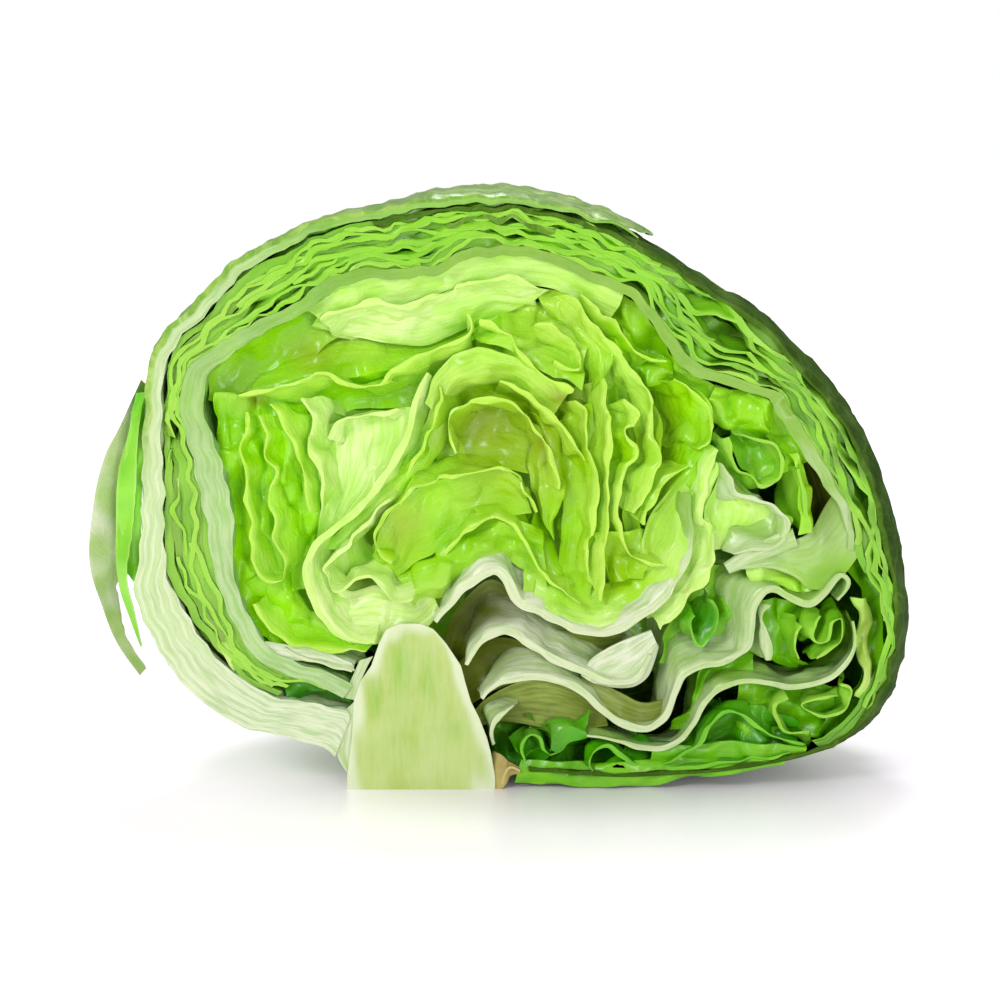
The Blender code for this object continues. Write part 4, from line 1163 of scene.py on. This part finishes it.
def inner_leaf(name):
    points, thickness, depth, pale, material = INNER_LEAVES[name]
    path, _ = smooth_path([face_point(p) for p in points], INNER_STEP)
    along = np.gradient(path, axis=0)
    along /= np.linalg.norm(along, axis=1)[:, None]
    normal = np.stack([-along[:, 1], along[:, 0]], axis=1)
    columns, rows = len(path) - 1, round(depth / INNER_STEP)
    seed = sum(ord(letter) for letter in name) * 1.3
    rib, arch = material == "white_rib", name == "white_arch_leaf"

    def lay(u, v, side):
        k = np.round(u * columns).astype(int)
        start_x, start_z = path[k].T
        to_end = (columns - k) * INNER_STEP
        from_ends = np.minimum(k * INNER_STEP, to_end)
        ripple = 1.0
        swell = (0.36 + 0.22 * ease(from_ends, 0, 2.5)) * (1 + 0.3 * uneven(start_x + seed, 0, start_z))
        if thickness > RIB_THICKNESS:
            ripple = 0.45
            swell = (0.35 + 0.5 * ease(from_ends, 0, 12)) * (1 - 0.25 * ease(start_x, -5, 25))
        if arch:
            swell = swell * (0.25 + 0.75 * ease(to_end, 0, 24))
        x, z = (path[k] + normal[k] * (thickness * swell * (side - 0.5))[:, None]).T
        set_back = ripple * 0.9 * np.maximum(0, edge_wave(start_x, 0, start_z))
        back = set_back + (depth - set_back) * v
        placed = ribbon_point(x, z, back, ripple)
        marked = 1 - 0.45 * ease(x, 30, 50) * rib
        fade = pale * (1 - 0.45 * ease(v, 0, 0.8)) + 0.12 * tint_wave(x + seed, back, z)
        fade = fade - 0.5 * pale * ease(x, 28, 52) * rib
        if arch:
            fade = fade * ease(to_end, 4, 26)
            marked = ease(to_end, 2, 24)
        seen_x, seen_z = placed[:, 0] / MM, placed[:, 2] / MM
        return placed, {
            "pale": np.clip(fade + spots(PALE_SPOTS, seen_x, seen_z), 0, 1), "cut": (v < 1e-6) * marked,
            # painted shade, only a little behind the cut edge
            "olive": spots(PAINTED_SHADE_SPOTS, seen_x, seen_z) * ease(back, 0.5, 3),
            "warm": spots(WARM_SPOTS, seen_x, seen_z), "run": k * INNER_STEP, "deep": back,
            "thick": thickness * side,
        }

    finish_leaf(name, sheet(columns, rows), lay, material, name)


for name in INNER_LEAVES:
    inner_leaf(name)
print("inner leaves made:", len(INNER_LEAVES))

# %% [markdown]
# ## Blades that face the eye
# Between two cut edges one mostly sees the broad side of a leaf, glossy and lumpy, a few millimetres
# behind the cut. Each is a sheet between two drawn edges. After the edges come three depths in
# millimetres, at the first edge, in the middle and at the second edge, then how pale it is, and its
# material.

# %% Facing blades: drawn
FACING_BLADES = {
    "upper_pale_face": (
        [(318, 318), (350, 300), (400, 303), (450, 290), (500, 280), (548, 290)],
        [(312, 326), (352, 336), (395, 345), (435, 342), (470, 326), (500, 318)],
        (2.5, 3.5, 5), 0.3, "heart_pale"),
    "upper_lime_face": (
        [(268, 366), (310, 345), (360, 330), (395, 340), (435, 338), (475, 322)],
        [(245, 398), (300, 384), (350, 376), (400, 368), (440, 352), (476, 338)],
        (9, 5, 2.5), 0.0, "heart_lime"),
    "under_ridge_face": (
        [(262, 388), (306, 380), (350, 376), (400, 366), (440, 356), (456, 345)],
        [(300, 440), (325, 432), (350, 410), (380, 410), (405, 408), (436, 396)],
        (3, 7, 7), 0.0, "heart_lime"),
    "left_pale_face": (
        [(306, 430), (314, 465), (320, 496), (316, 540)],
        [(412, 404), (408, 432), (390, 468), (342, 524)], (3, 4, 2), 0.5, "heart_pale"),
    "left_lime_face": (
        [(222, 392), (232, 440), (240, 500), (246, 560), (256, 600)],
        [(300, 392), (312, 440), (322, 490), (316, 540), (306, 590)], (4, 3, 5), 0.0, "heart_lime"),
    "left_lower_face": (
        [(240, 590), (262, 624), (300, 642), (352, 650)],
        [(268, 560), (290, 580), (310, 608), (352, 630)], (5, 2.5, 5), 0.05, "heart_lime"),
    "double_edge_face": (
        [(438, 384), (420, 430), (396, 470), (358, 512), (320, 548)],
        [(458, 392), (446, 440), (420, 480), (388, 512), (346, 552)], (3.5, 3, 4.5), 0.2, "heart_pale"),
    "saucer_face": (
        [(312, 590), (330, 632), (376, 644), (420, 630), (440, 612)],
        [(330, 560), (346, 592), (376, 586), (405, 602), (430, 592)], (1.5, 3.4, 3.5), 0.95, "heart_pale"),
    "heart_gap_face": (
        [(594, 532), (602, 556), (610, 584)],
        [(644, 528), (646, 552), (642, 578)], (3, 2.2, 3), 0.1, "heart_lime"),
    "rib_root_face": (
        [(346, 708), (341, 730), (335, 754), (345, 777)],
        [(355, 700), (354, 728), (352, 752), (350, 777)], (0.4, 0.4, 0.4), 0.8, "white_rib"),
    "upper_root_face": (
        [(358, 660), (352, 674), (347, 686), (343, 698)],
        [(372, 656), (363, 672), (358, 686), (354, 700)], (0.5, 0.4, 0.5), 0.6, "white_rib"),
    "scar_face": (
        [(492, 756), (499, 758), (505, 762), (514, 768), (525, 774)],
        [(494, 795), (499, 793), (504, 787), (511, 779), (521, 776)], (0.8, 0.4, 1.2), 0.3, "scar"),
    "roll_back_face": (
        [(742, 692), (776, 690), (812, 690), (850, 688)],
        [(736, 742), (766, 748), (800, 746), (838, 738)], (6, 5, 6), 0.1, "mid_green"),
    "between_rib_face": (
        [(690, 712), (698, 690), (706, 668), (726, 650), (756, 640)],
        [(668, 738), (694, 728), (708, 700), (724, 682), (752, 672)], (5, 4, 5), 0.05, "mid_green"),
    "strip_inner_face": (
        [(139, 392), (129, 430), (122, 480), (119, 530), (124, 572)],
        [(147, 392), (145, 440), (142, 500), (140, 548), (140, 590)], (2.6, 2.4, 2.6), 0.1, "strip_lime"),
    "white_wing_face": (
        [(254, 640), (285, 644), (318, 649), (350, 662)],
        [(262, 662), (290, 660), (322, 662), (354, 672)], (0.9, 0.5, 0.9), 1.0, "white_rib"),
    "pale_fold_face": (
        [(201, 588), (205, 610), (213, 640), (232, 670)],
        [(213, 592), (222, 616), (231, 642), (248, 668)], (0.6, 0.5, 0.6), 0.7, "heart_pale"),
    "right_wall_upper_face": (
        [(748, 390), (772, 402), (792, 428), (808, 462)],
        [(738, 404), (756, 424), (770, 446), (782, 472)], (2.5, 3.2, 3), 0.1, "heart_lime"),
    "outer_fold_face": (
        [(850, 598), (858, 620), (855, 646), (862, 672), (856, 700)],
        [(866, 596), (873, 618), (868, 648), (874, 670), (864, 702)], (1.2, 0.6, 2.5), 0.6, "heart_pale"),
    "tongue_face": (
        [(372, 556), (384, 520), (412, 490), (450, 474), (492, 464), (520, 478)],
        [(396, 576), (420, 560), (440, 548), (462, 530), (492, 516), (530, 512)],
        (1.2, 2.6, 3), 0.0, "heart_lime"),
    "tongue_lower_face": (
        [(394, 574), (430, 556), (452, 536), (480, 518), (512, 516), (540, 530)],
        [(416, 612), (446, 596), (470, 574), (494, 560), (520, 572), (548, 596)],
        (3, 2, 4), 0.05, "heart_lime"),
    "hole_side_face": (
        [(522, 402), (530, 430), (528, 470), (532, 500), (540, 520)],
        [(548, 418), (566, 450), (562, 490), (556, 520), (552, 540)], (5, 2, 4), 0.05, "heart_lime"),
    "crown_face": (
        [(424, 400), (440, 366), (470, 346), (500, 350), (530, 364), (566, 392)],
        [(446, 420), (452, 398), (476, 384), (500, 384), (522, 394), (548, 420)],
        (1, 1.2, 3.5), 0.5, "heart_lime"),
    "upper_glint_face": (
        [(470, 318), (500, 306), (530, 300), (562, 306), (590, 320)],
        [(476, 340), (500, 346), (520, 356), (548, 372), (580, 386)], (5, 3, 2), 0.25, "heart_lime"),
    "upper_lobe_face": (
        [(536, 288), (562, 294), (588, 312), (606, 336), (612, 362)],
        [(548, 318), (562, 330), (574, 344), (584, 362), (588, 392)], (3, 2, 5), 0.15, "heart_lime"),
    "right_tall_face": (
        [(552, 424), (560, 470), (562, 520), (558, 560), (552, 590)],
        [(590, 400), (596, 450), (598, 510), (596, 560), (590, 600)], (5, 4, 3), 0.0, "heart_lime"),
    "twin_gap_face": (
        [(592, 396), (600, 450), (602, 510), (600, 570)],
        [(612, 366), (622, 440), (618, 520), (612, 590)], (4, 6, 4), 0.05, "heart_lime"),
    "curl_face": (
        [(612, 352), (628, 400), (634, 450), (622, 510), (626, 560)],
        [(640, 372), (656, 412), (656, 456), (640, 500), (640, 548)], (4, 6, 2), 0.1, "heart_lime"),
    "bright_face": (
        [(652, 370), (666, 400), (664, 440), (652, 480), (640, 520)],
        [(672, 376), (706, 398), (710, 432), (690, 466), (656, 510)], (9, 4, 1.5), 0.0, "heart_lime"),
    "lower_bright_face": (
        [(700, 448), (676, 480), (652, 508), (640, 540), (640, 566)],
        [(712, 470), (704, 500), (700, 530), (690, 560), (668, 584)], (2, 3, 3.5), 0.1, "heart_lime"),
    "heart_floor_face": (
        [(532, 510), (560, 560), (590, 600), (620, 606), (650, 590), (684, 556)],
        [(520, 590), (548, 612), (590, 626), (628, 618), (660, 594), (690, 540)],
        (6, 4, 3), 0.1, "heart_lime"),
    "upper_right_face": (
        [(584, 296), (612, 320), (636, 344), (668, 362)],
        [(606, 340), (626, 366), (644, 384), (672, 380)], (3, 4, 4), 0.05, "heart_lime"),
    "top_under_rib_face": (
        [(300, 302), (360, 278), (400, 270), (480, 254), (560, 262), (622, 292)],
        [(330, 326), (400, 304), (470, 286), (548, 288), (606, 322)], (1.0, 1.8, 2.4), 0.4, "heart_pale"),
    "left_under_rib_face": (
        [(208, 400), (214, 364), (254, 334), (300, 308), (340, 290)],
        [(246, 412), (250, 392), (286, 372), (320, 352), (350, 326)], (4, 7, 6), 0.0, "heart_lime"),
    "left_wall_face": (
        [(212, 392), (218, 450), (224, 520), (236, 580), (252, 628), (282, 660)],
        [(248, 390), (252, 440), (258, 500), (264, 560), (280, 604), (306, 640)],
        (2.5, 4, 5), 0.0, "heart_lime"),
    "upper_right_wall_face": (
        [(600, 284), (634, 304), (660, 340), (690, 374), (720, 388)],
        [(588, 312), (616, 336), (644, 366), (672, 388), (706, 404)], (3.5, 5, 5), 0.1, "heart_lime"),
    "bottom_green_face": (
        [(520, 762), (548, 764), (584, 766), (630, 764), (680, 762), (740, 762), (790, 757)],
        [(514, 786), (560, 789), (615, 790), (655, 788), (694, 781), (744, 776), (786, 768)],
        (1.4, 0.6, 1), 0.0, "mid_green"),
    "bottom_sheen_face": (
        [(654, 748), (690, 748), (724, 744), (764, 746), (808, 750)],
        [(650, 764), (690, 766), (724, 764), (764, 762), (806, 758)], (1.5, 1.2, 2), 0.15, "mid_green"),
    "right_shelf_face": (
        [(730, 560), (760, 550), (790, 540), (810, 528), (824, 502), (838, 480)],
        [(738, 567), (766, 566), (790, 574), (812, 588), (836, 580), (854, 556)],
        (1.8, 1.0, 0.6), 0.12, "white_rib"),
    "hole_face": (
        [(436, 392), (466, 380), (505, 382), (536, 400)],
        [(436, 468), (470, 472), (505, 470), (544, 478)], (4.5, 7, 5), 0.0, "heart_lime"),
    "floor_rise_face": (
        [(530, 604), (560, 616), (592, 625), (628, 618), (652, 602), (676, 574), (690, 528), (690, 492)],
        [(540, 560), (566, 578), (596, 586), (620, 580), (640, 560), (652, 530), (662, 500), (670, 470)],
        (0.9, 2.5, 5), 0.15, "heart_pale"),
    "cup_face": (
        [(708, 462), (715, 476), (705, 500), (702, 524), (708, 550)],
        [(734, 478), (752, 494), (776, 508), (790, 522), (752, 546)], (1.5, 4.5, 2), 0.3, "heart_pale"),
    "tube_face": (
        [(722, 562), (746, 546), (770, 534), (790, 526)],
        [(728, 572), (752, 562), (776, 552), (796, 544)], (1, 0.4, 1), 0.25, "white_rib"),
    "finger_face": (
        [(786, 452), (793, 470), (796, 500), (797, 532)],
        [(795, 450), (806, 480), (809, 504), (808, 530)], (1.4, 0.6, 1.4), 0.15, "heart_lime"),
    "cascade_face": (
        [(704, 456), (698, 500), (706, 536), (692, 576), (668, 616)],
        [(716, 462), (708, 500), (716, 536), (708, 568), (686, 600)], (2, 1, 2), 0.4, "heart_pale"),
    "under_shelf_face": (
        [(716, 568), (700, 590), (680, 616), (664, 640), (660, 668)],
        [(750, 572), (736, 596), (732, 628), (724, 656), (690, 676)], (5, 7, 5), 0.0, "mid_green"),
    "curl_inside_face": (
        [(724, 436), (736, 462), (756, 484), (778, 474)],
        [(744, 428), (764, 436), (782, 450), (784, 468)], (2.5, 5, 3), 0.1, "mid_green"),
    "stacked_lobe_face": (
        [(706, 400), (716, 424), (732, 432), (764, 436)],
        [(712, 384), (736, 390), (758, 402), (768, 424)], (4, 1.5, 4), 0.15, "heart_lime"),
    "right_pocket_face": (
        [(776, 424), (800, 462), (812, 500), (806, 540)],
        [(806, 452), (828, 492), (836, 528), (832, 560)], (6, 8, 4), 0.0, "hollow_olive"),
    "rib_shelf_face": (
        [(740, 556), (770, 560), (800, 572), (836, 566)],
        [(752, 590), (780, 584), (806, 596), (832, 580)], (4, 2.5, 3), 0.3, "heart_pale"),
    "lower_right_face": (
        [(756, 600), (762, 640), (770, 664), (800, 672)],
        [(806, 606), (800, 640), (800, 660), (812, 672)], (4, 6, 6), 0.0, "mid_green"),
    "outer_right_face": (
        [(842, 560), (862, 600), (866, 650), (852, 700), (820, 735)],
        [(862, 540), (882, 600), (884, 650), (868, 705), (836, 742)], (3, 6, 4), 0.0, "mid_green"),
    "flap_face": (
        [(580, 676), (590, 660), (608, 648), (630, 638), (650, 630)],
        [(598, 686), (614, 690), (634, 688), (650, 674), (658, 648)], (1.6, 0.8, 2), 0.9, "white_rib"),
    "pocket_upper_face": (
        [(440, 650), (452, 618), (474, 592), (492, 582), (508, 594), (520, 618), (536, 640)],
        [(456, 672), (470, 652), (482, 642), (496, 636), (510, 638), (524, 644), (540, 652)],
        (6, 7, 5), 0.0, "hollow_olive"),
    "pocket_middle_face": (
        [(456, 668), (468, 654), (482, 645), (500, 640), (520, 644), (540, 658), (556, 670)],
        [(468, 708), (482, 700), (496, 692), (512, 686), (528, 682), (544, 678), (562, 680)],
        (4, 6, 3), 0.0, "hollow_olive"),
    "pocket_lower_face": (
        [(470, 716), (484, 702), (504, 690), (530, 680), (556, 682), (580, 694), (602, 712)],
        [(480, 730), (500, 726), (520, 728), (540, 732), (560, 734), (582, 734), (608, 730)],
        (2.5, 5, 4), 0.45, "hollow_olive"),
    "gully_face": (
        [(566, 680), (590, 682), (616, 694), (644, 706), (672, 702)],
        [(584, 696), (604, 712), (622, 726), (644, 730), (666, 724)], (3.5, 3, 2), 0.5, "hollow_olive"),
    "brown_face": (
        [(550, 632), (570, 636), (600, 640), (624, 640)],
        [(556, 668), (572, 670), (590, 674), (608, 668)], (6, 8, 6), 0.0, "hollow_olive"),
    "black_pocket_face": (
        [(486, 720), (520, 730), (560, 730), (600, 740), (640, 746)],
        [(494, 778), (524, 776), (560, 776), (600, 774), (640, 764)], (12, 9, 5), 0.0, "deep_green"),
    "frill_upper_face": (
        [(524, 716), (540, 724), (556, 726), (574, 720), (592, 714)],
        [(526, 736), (544, 742), (556, 756), (566, 746), (584, 740)], (4, 2.6, 4), 0.1, "deep_green"),
    "frill_lower_face": (
        [(512, 738), (522, 732), (534, 738), (548, 752)],
        [(517, 758), (528, 768), (540, 766), (548, 760)], (3.6, 2.4, 3.6), 0.15, "deep_green"),
    "green_pocket_face": (
        [(272, 676), (300, 670), (330, 676), (352, 688)],
        [(290, 706), (312, 704), (330, 706), (350, 708)], (5, 3, 5), 0.0, "deep_green"),
    "rib_inside_face": (
        [(262, 668), (290, 690), (320, 702), (352, 706)],
        [(268, 700), (296, 716), (322, 726), (352, 734)], (9, 4, 2), 0.8, "white_rib"),
    "between_ribs_face": (
        [(166, 470), (170, 540), (186, 600), (216, 650), (262, 690)],
        [(196, 470), (200, 540), (212, 590), (236, 640), (276, 672)], (5, 6, 5), 0.2, "mid_green"),
    "bottom_right_face": (
        [(640, 740), (680, 748), (706, 730), (740, 706), (800, 724)],
        [(600, 772), (660, 770), (700, 768), (744, 764), (796, 756)], (3, 5, 3), 0.0, "deep_green"),
}
print("facing blades drawn:", len(FACING_BLADES))

# %% [markdown]
# ## How a facing blade is laid
# The three depths make it hollow or full. Waves of three sizes and a run of folds crumple it: strongly
# in the frilly leaf beside the stem, less where the photo's leaves are smooth, and hardly on ribs.

# %% Facing blades: made
FACING_STEP = 0.6
EDGE_STEP = 0.3
FOLD = 5.0
BLADE = 0.6
FRONT = 0.4
CALM = {
    0.15: ("hollow_olive", "white_rib"),
    0.4: (
        "tongue_face", "bright_face", "lower_bright_face", "crown_face", "left_pale_face", "upper_pale_face",
        "right_tall_face", "hole_face", "cup_face", "double_edge_face", "floor_rise_face", "twin_gap_face",
        "saucer_face", "bottom_green_face", "bottom_sheen_face", "top_under_rib_face", "upper_lime_face",
        "strip_inner_face", "pale_fold_face", "left_under_rib_face", "under_ridge_face",
    ),
    1.8: ("frill_upper_face", "frill_lower_face"),
}


def facing_blade(name):
    *drawn, (near, middle, far), pale, material = FACING_BLADES[name]
    (first, first_length), (second, second_length) = (
        smooth_path([face_point(p) for p in edge], EDGE_STEP) for edge in drawn)
    columns = round(max(first_length, second_length) / FACING_STEP)
    width = np.linalg.norm(first[len(first) // 2] - second[len(second) // 2])
    rows = max(6, round(1.2 * width / FACING_STEP))
    seed = sum(ord(letter) for letter in name)
    calm = next((amount for amount, names in CALM.items() if material in names or name in names), 1)

    def lay(u, v, side):
        start, stop = along_path(first, u), along_path(second, u)
        x, z = (start + (stop - start) * v[:, None]).T
        back = near * (1 - v) * (1 - 2 * v) + 4 * middle * v * (1 - v) + far * v * (2 * v - 1)
        fold = np.sin(2 * math.pi * v * width / FOLD + 1.6 * inside_wave(x, 3, z) + seed)
        waving = 0.9 * inside_wave(x, 0, z) + 0.4 * creases(x, 0, z) + 0.12 * fine_creases(x, 0, z)
        waving = waving + 0.5 * fold * np.abs(fold) ** 0.5
        back = np.maximum(back + waving * calm, FRONT) + BLADE * side
        fade = np.clip(pale + 0.1 * tint_wave(x, back, z) + spots(PALE_SPOTS, x, z), 0, 1)
        return place(x + 0.3 * calm * frill_x(x, 0, z), back, z + 0.3 * calm * frill_z(x, 0, z)), {
            "pale": fade, "cut": 0, "olive": spots(PAINTED_SHADE_SPOTS, x, z), "warm": spots(WARM_SPOTS, x, z),
            "run": u * first_length, "deep": v * width, "thick": BLADE * side,
        }

    finish_leaf(name, sheet(columns, rows), lay, material)


for name in FACING_BLADES:
    facing_blade(name)
print("facing blades made:", len(FACING_BLADES))

# %% [markdown]
# ## Leaves behind the heart
# Where two cut leaves leave a gap, the eye looks past them on to the next leaf. Three cupped leaves
# nest there. They are dished discs with soft lumps.

# %% Cupped leaves
CUPPED_LEAVES = {
    # name: reach as a share of the outline, depth at the rim and in the middle, material
    "heart_back_leaf": (0.62, 16.5, 22.0, "heart_lime"),
    "inner_cup_leaf": (0.66, 19.0, 34.0, "mid_green"),
    "deep_cup_leaf": (0.70, 21.5, 47.0, "mid_green"),
}
SPOKES, RINGS = 72, 24
CUP_THICKNESS = THIN * 1.2


def cupped_leaf(name):
    reach, rim_back, middle_back, material = CUPPED_LEAVES[name]
    bm = bmesh.new()
    bmesh.ops.create_circle(bm, cap_ends=True, cap_tris=True, segments=SPOKES, radius=1)
    spokes = [edge for edge in bm.edges if min(v.co.length for v in edge.verts) < 0.5]
    bmesh.ops.subdivide_edges(bm, edges=spokes, cuts=RINGS, use_grid_fill=True)

    def lay(u, v, side):
        share = np.hypot(u, v)
        radius = outline_radius(np.degrees(np.arctan2(-u, -v))) * reach * share
        away = np.maximum(share, 1e-6)
        x, z = CENTRE_X + radius * u / away, CENTRE_Z + radius * v / away
        back = middle_back + (rim_back - middle_back) * share ** 2
        back = back + 0.8 * bend_x(x, back, z) + CUP_THICKNESS * side
        return place(x, back, z), {"pale": 0.15, "cut": 0}

    finish_leaf(name, thicken(bm), lay, material, name)


for name in CUPPED_LEAVES:
    cupped_leaf(name)
print("cupped leaves:", list(CUPPED_LEAVES))

# %% [markdown]
# ## Loose blades
# Two torn blades stand off the left side: a limp greyish one outside, and a fresh green strip. Each is
# a sheet between an outer and an inner edge. After the edges come the depths at both in millimetres,
# how ragged it is, how much its colour varies, and its material.

# %% Loose blades
LOOSE_STEP = 0.6
LOOSE_ROWS = 10
LOOSE_BLADES = {
    "loose_pale_leaf": (
        [(142, 380), (120, 426), (104, 456), (94, 494), (88, 540), (90, 580), (100, 615), (116, 650),
         (135, 680)],
        [(149, 392), (141, 430), (138, 470), (134, 510), (126, 545), (115, 575), (112, 606), (122, 645),
         (139, 677)], 5.0, 9.0, 1, 0.35, "loose_pale"),
    "loose_green_strip": (
        [(148, 392), (131, 430), (119, 470), (115, 540), (118, 590), (128, 622), (139, 648)],
        [(145, 404), (140, 440), (137, 490), (132, 540), (127, 580), (133, 612), (141, 643)],
        3.4, 1.6, 0.4, 0,
        "strip_lime"),
}


def loose_blade(name):
    *drawn, outer_back, inner_back, raggedness, variety, material = LOOSE_BLADES[name]
    outer, inner = (smooth_path([face_point(p) for p in edge], LOOSE_STEP)[0] for edge in drawn)
    columns = len(outer) - 1

    def lay(u, v, side):
        start = outer[np.round(u * columns).astype(int)]
        start_x, start_z = start.T
        ragged = raggedness * frill_x(start_x * 1.5, v, start_z * 1.5) * (0.3 + 0.5 * ease(u, 0.3, 0.6))
        share = v * (1 - 0.12 * np.abs(ragged)) + 0.05 * ragged * v
        x, z = (start + (along_path(inner, u) - start) * share[:, None]).T
        back = outer_back + (inner_back - outer_back) * share + THIN * (side - 0.5)
        fade = 0.15 + 0.5 * ease(np.abs(v - 0.5), 0.36, 0.5) + variety * tint_wave(2 * x, v, 2 * z)
        return place(x, back + 0.7 * bend_z(x, v, z), z), {"pale": np.clip(fade, 0, 1), "cut": 0}

    finish_leaf(name, sheet(columns, LOOSE_ROWS), lay, material, name)


for name in LOOSE_BLADES:
    loose_blade(name)
print("loose blades:", list(LOOSE_BLADES))

# %% [markdown]
# ## Stem
# The stem is solid flesh. Its cut face is moist, yellow green in the middle and whiter round the rim,
# with faint fibres and a few greener streaks that run up it.

# %% Stem material
FLESH_BUMP, FLESH_BUMP_HEIGHT = 0.35, 0.0008
LOOKS["stem_flesh"], flesh = new_material("cut_stem_flesh")
stretched = flesh.node("Mapping", {"Vector": flesh.place(), "Scale": (1, 1, 0.18)}).outputs["Vector"]
strands = flesh.noise(600, 4, 0.65, stretched)
cloudy = flesh.noise(60, 3, 0.6)
colour = flesh.mix(flesh.ranged(cloudy, 0.35, 0.65), srgb(190, 210, 126), srgb(172, 196, 92))
colour = flesh.mix(flesh.attribute("olive"), colour, srgb(132, 186, 42))
colour = flesh.mix(flesh.ranged(strands, 0.35, 0.7, 0, 0.35), colour, srgb(206, 222, 160))
flesh.shader({
    "Base Color": flesh.mix(flesh.attribute("pale"), colour, srgb(222, 232, 196)),
    "Normal": flesh.bump(FLESH_BUMP, FLESH_BUMP_HEIGHT, flesh.plus(strands, cloudy)),
    "Roughness": 0.42, "Specular IOR Level": 0.3,
})
print("nodes in the stem's material:", len(flesh.tree.nodes))

# %% [markdown]
# The stem itself is a cone cut in half by the face, with its sides listed row by row.

# %% Stem
STEM_COLUMNS, STEM_LEVELS = 40, 60
STEM_TOP = STEM_ROWS[-1][0]


def lay_stem(u, v, side):
    z = v * STEM_TOP
    left, right = stem_edges(z)
    turn = (u - 0.5) * math.pi
    half = (right - left) / 2
    x = (left + right) / 2 + half * np.sin(turn)
    cloud = 0.35 * tint_wave(2.5 * x, 0, 1.2 * z)
    rim = ease(np.abs(np.sin(turn)) + 0.3 * cloud, 0.7, 0.98)
    rim = np.clip(np.maximum(rim, ease(v + 0.1 * cloud, 0.86, 1.0) * 0.9), 0, 1)
    streaks = spots(STEM_STREAKS, x, z) * (1 - rim)
    return place(x, half * np.cos(turn) * side, z), {"pale": rim * 0.9, "cut": 0, "olive": streaks}


finish_leaf("stem", sheet(STEM_COLUMNS, STEM_LEVELS), lay_stem, "stem_flesh", "stem")
print("stem:", STEM_COLUMNS * STEM_LEVELS, "faces in its cut")

# %% Sizes
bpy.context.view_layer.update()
pieces = [made for made in bpy.data.objects if made.type == "MESH" and made.name.endswith("_look")]
print("pieces:", len(pieces), "with", sum(len(piece.data.polygons) for piece in pieces), "faces")
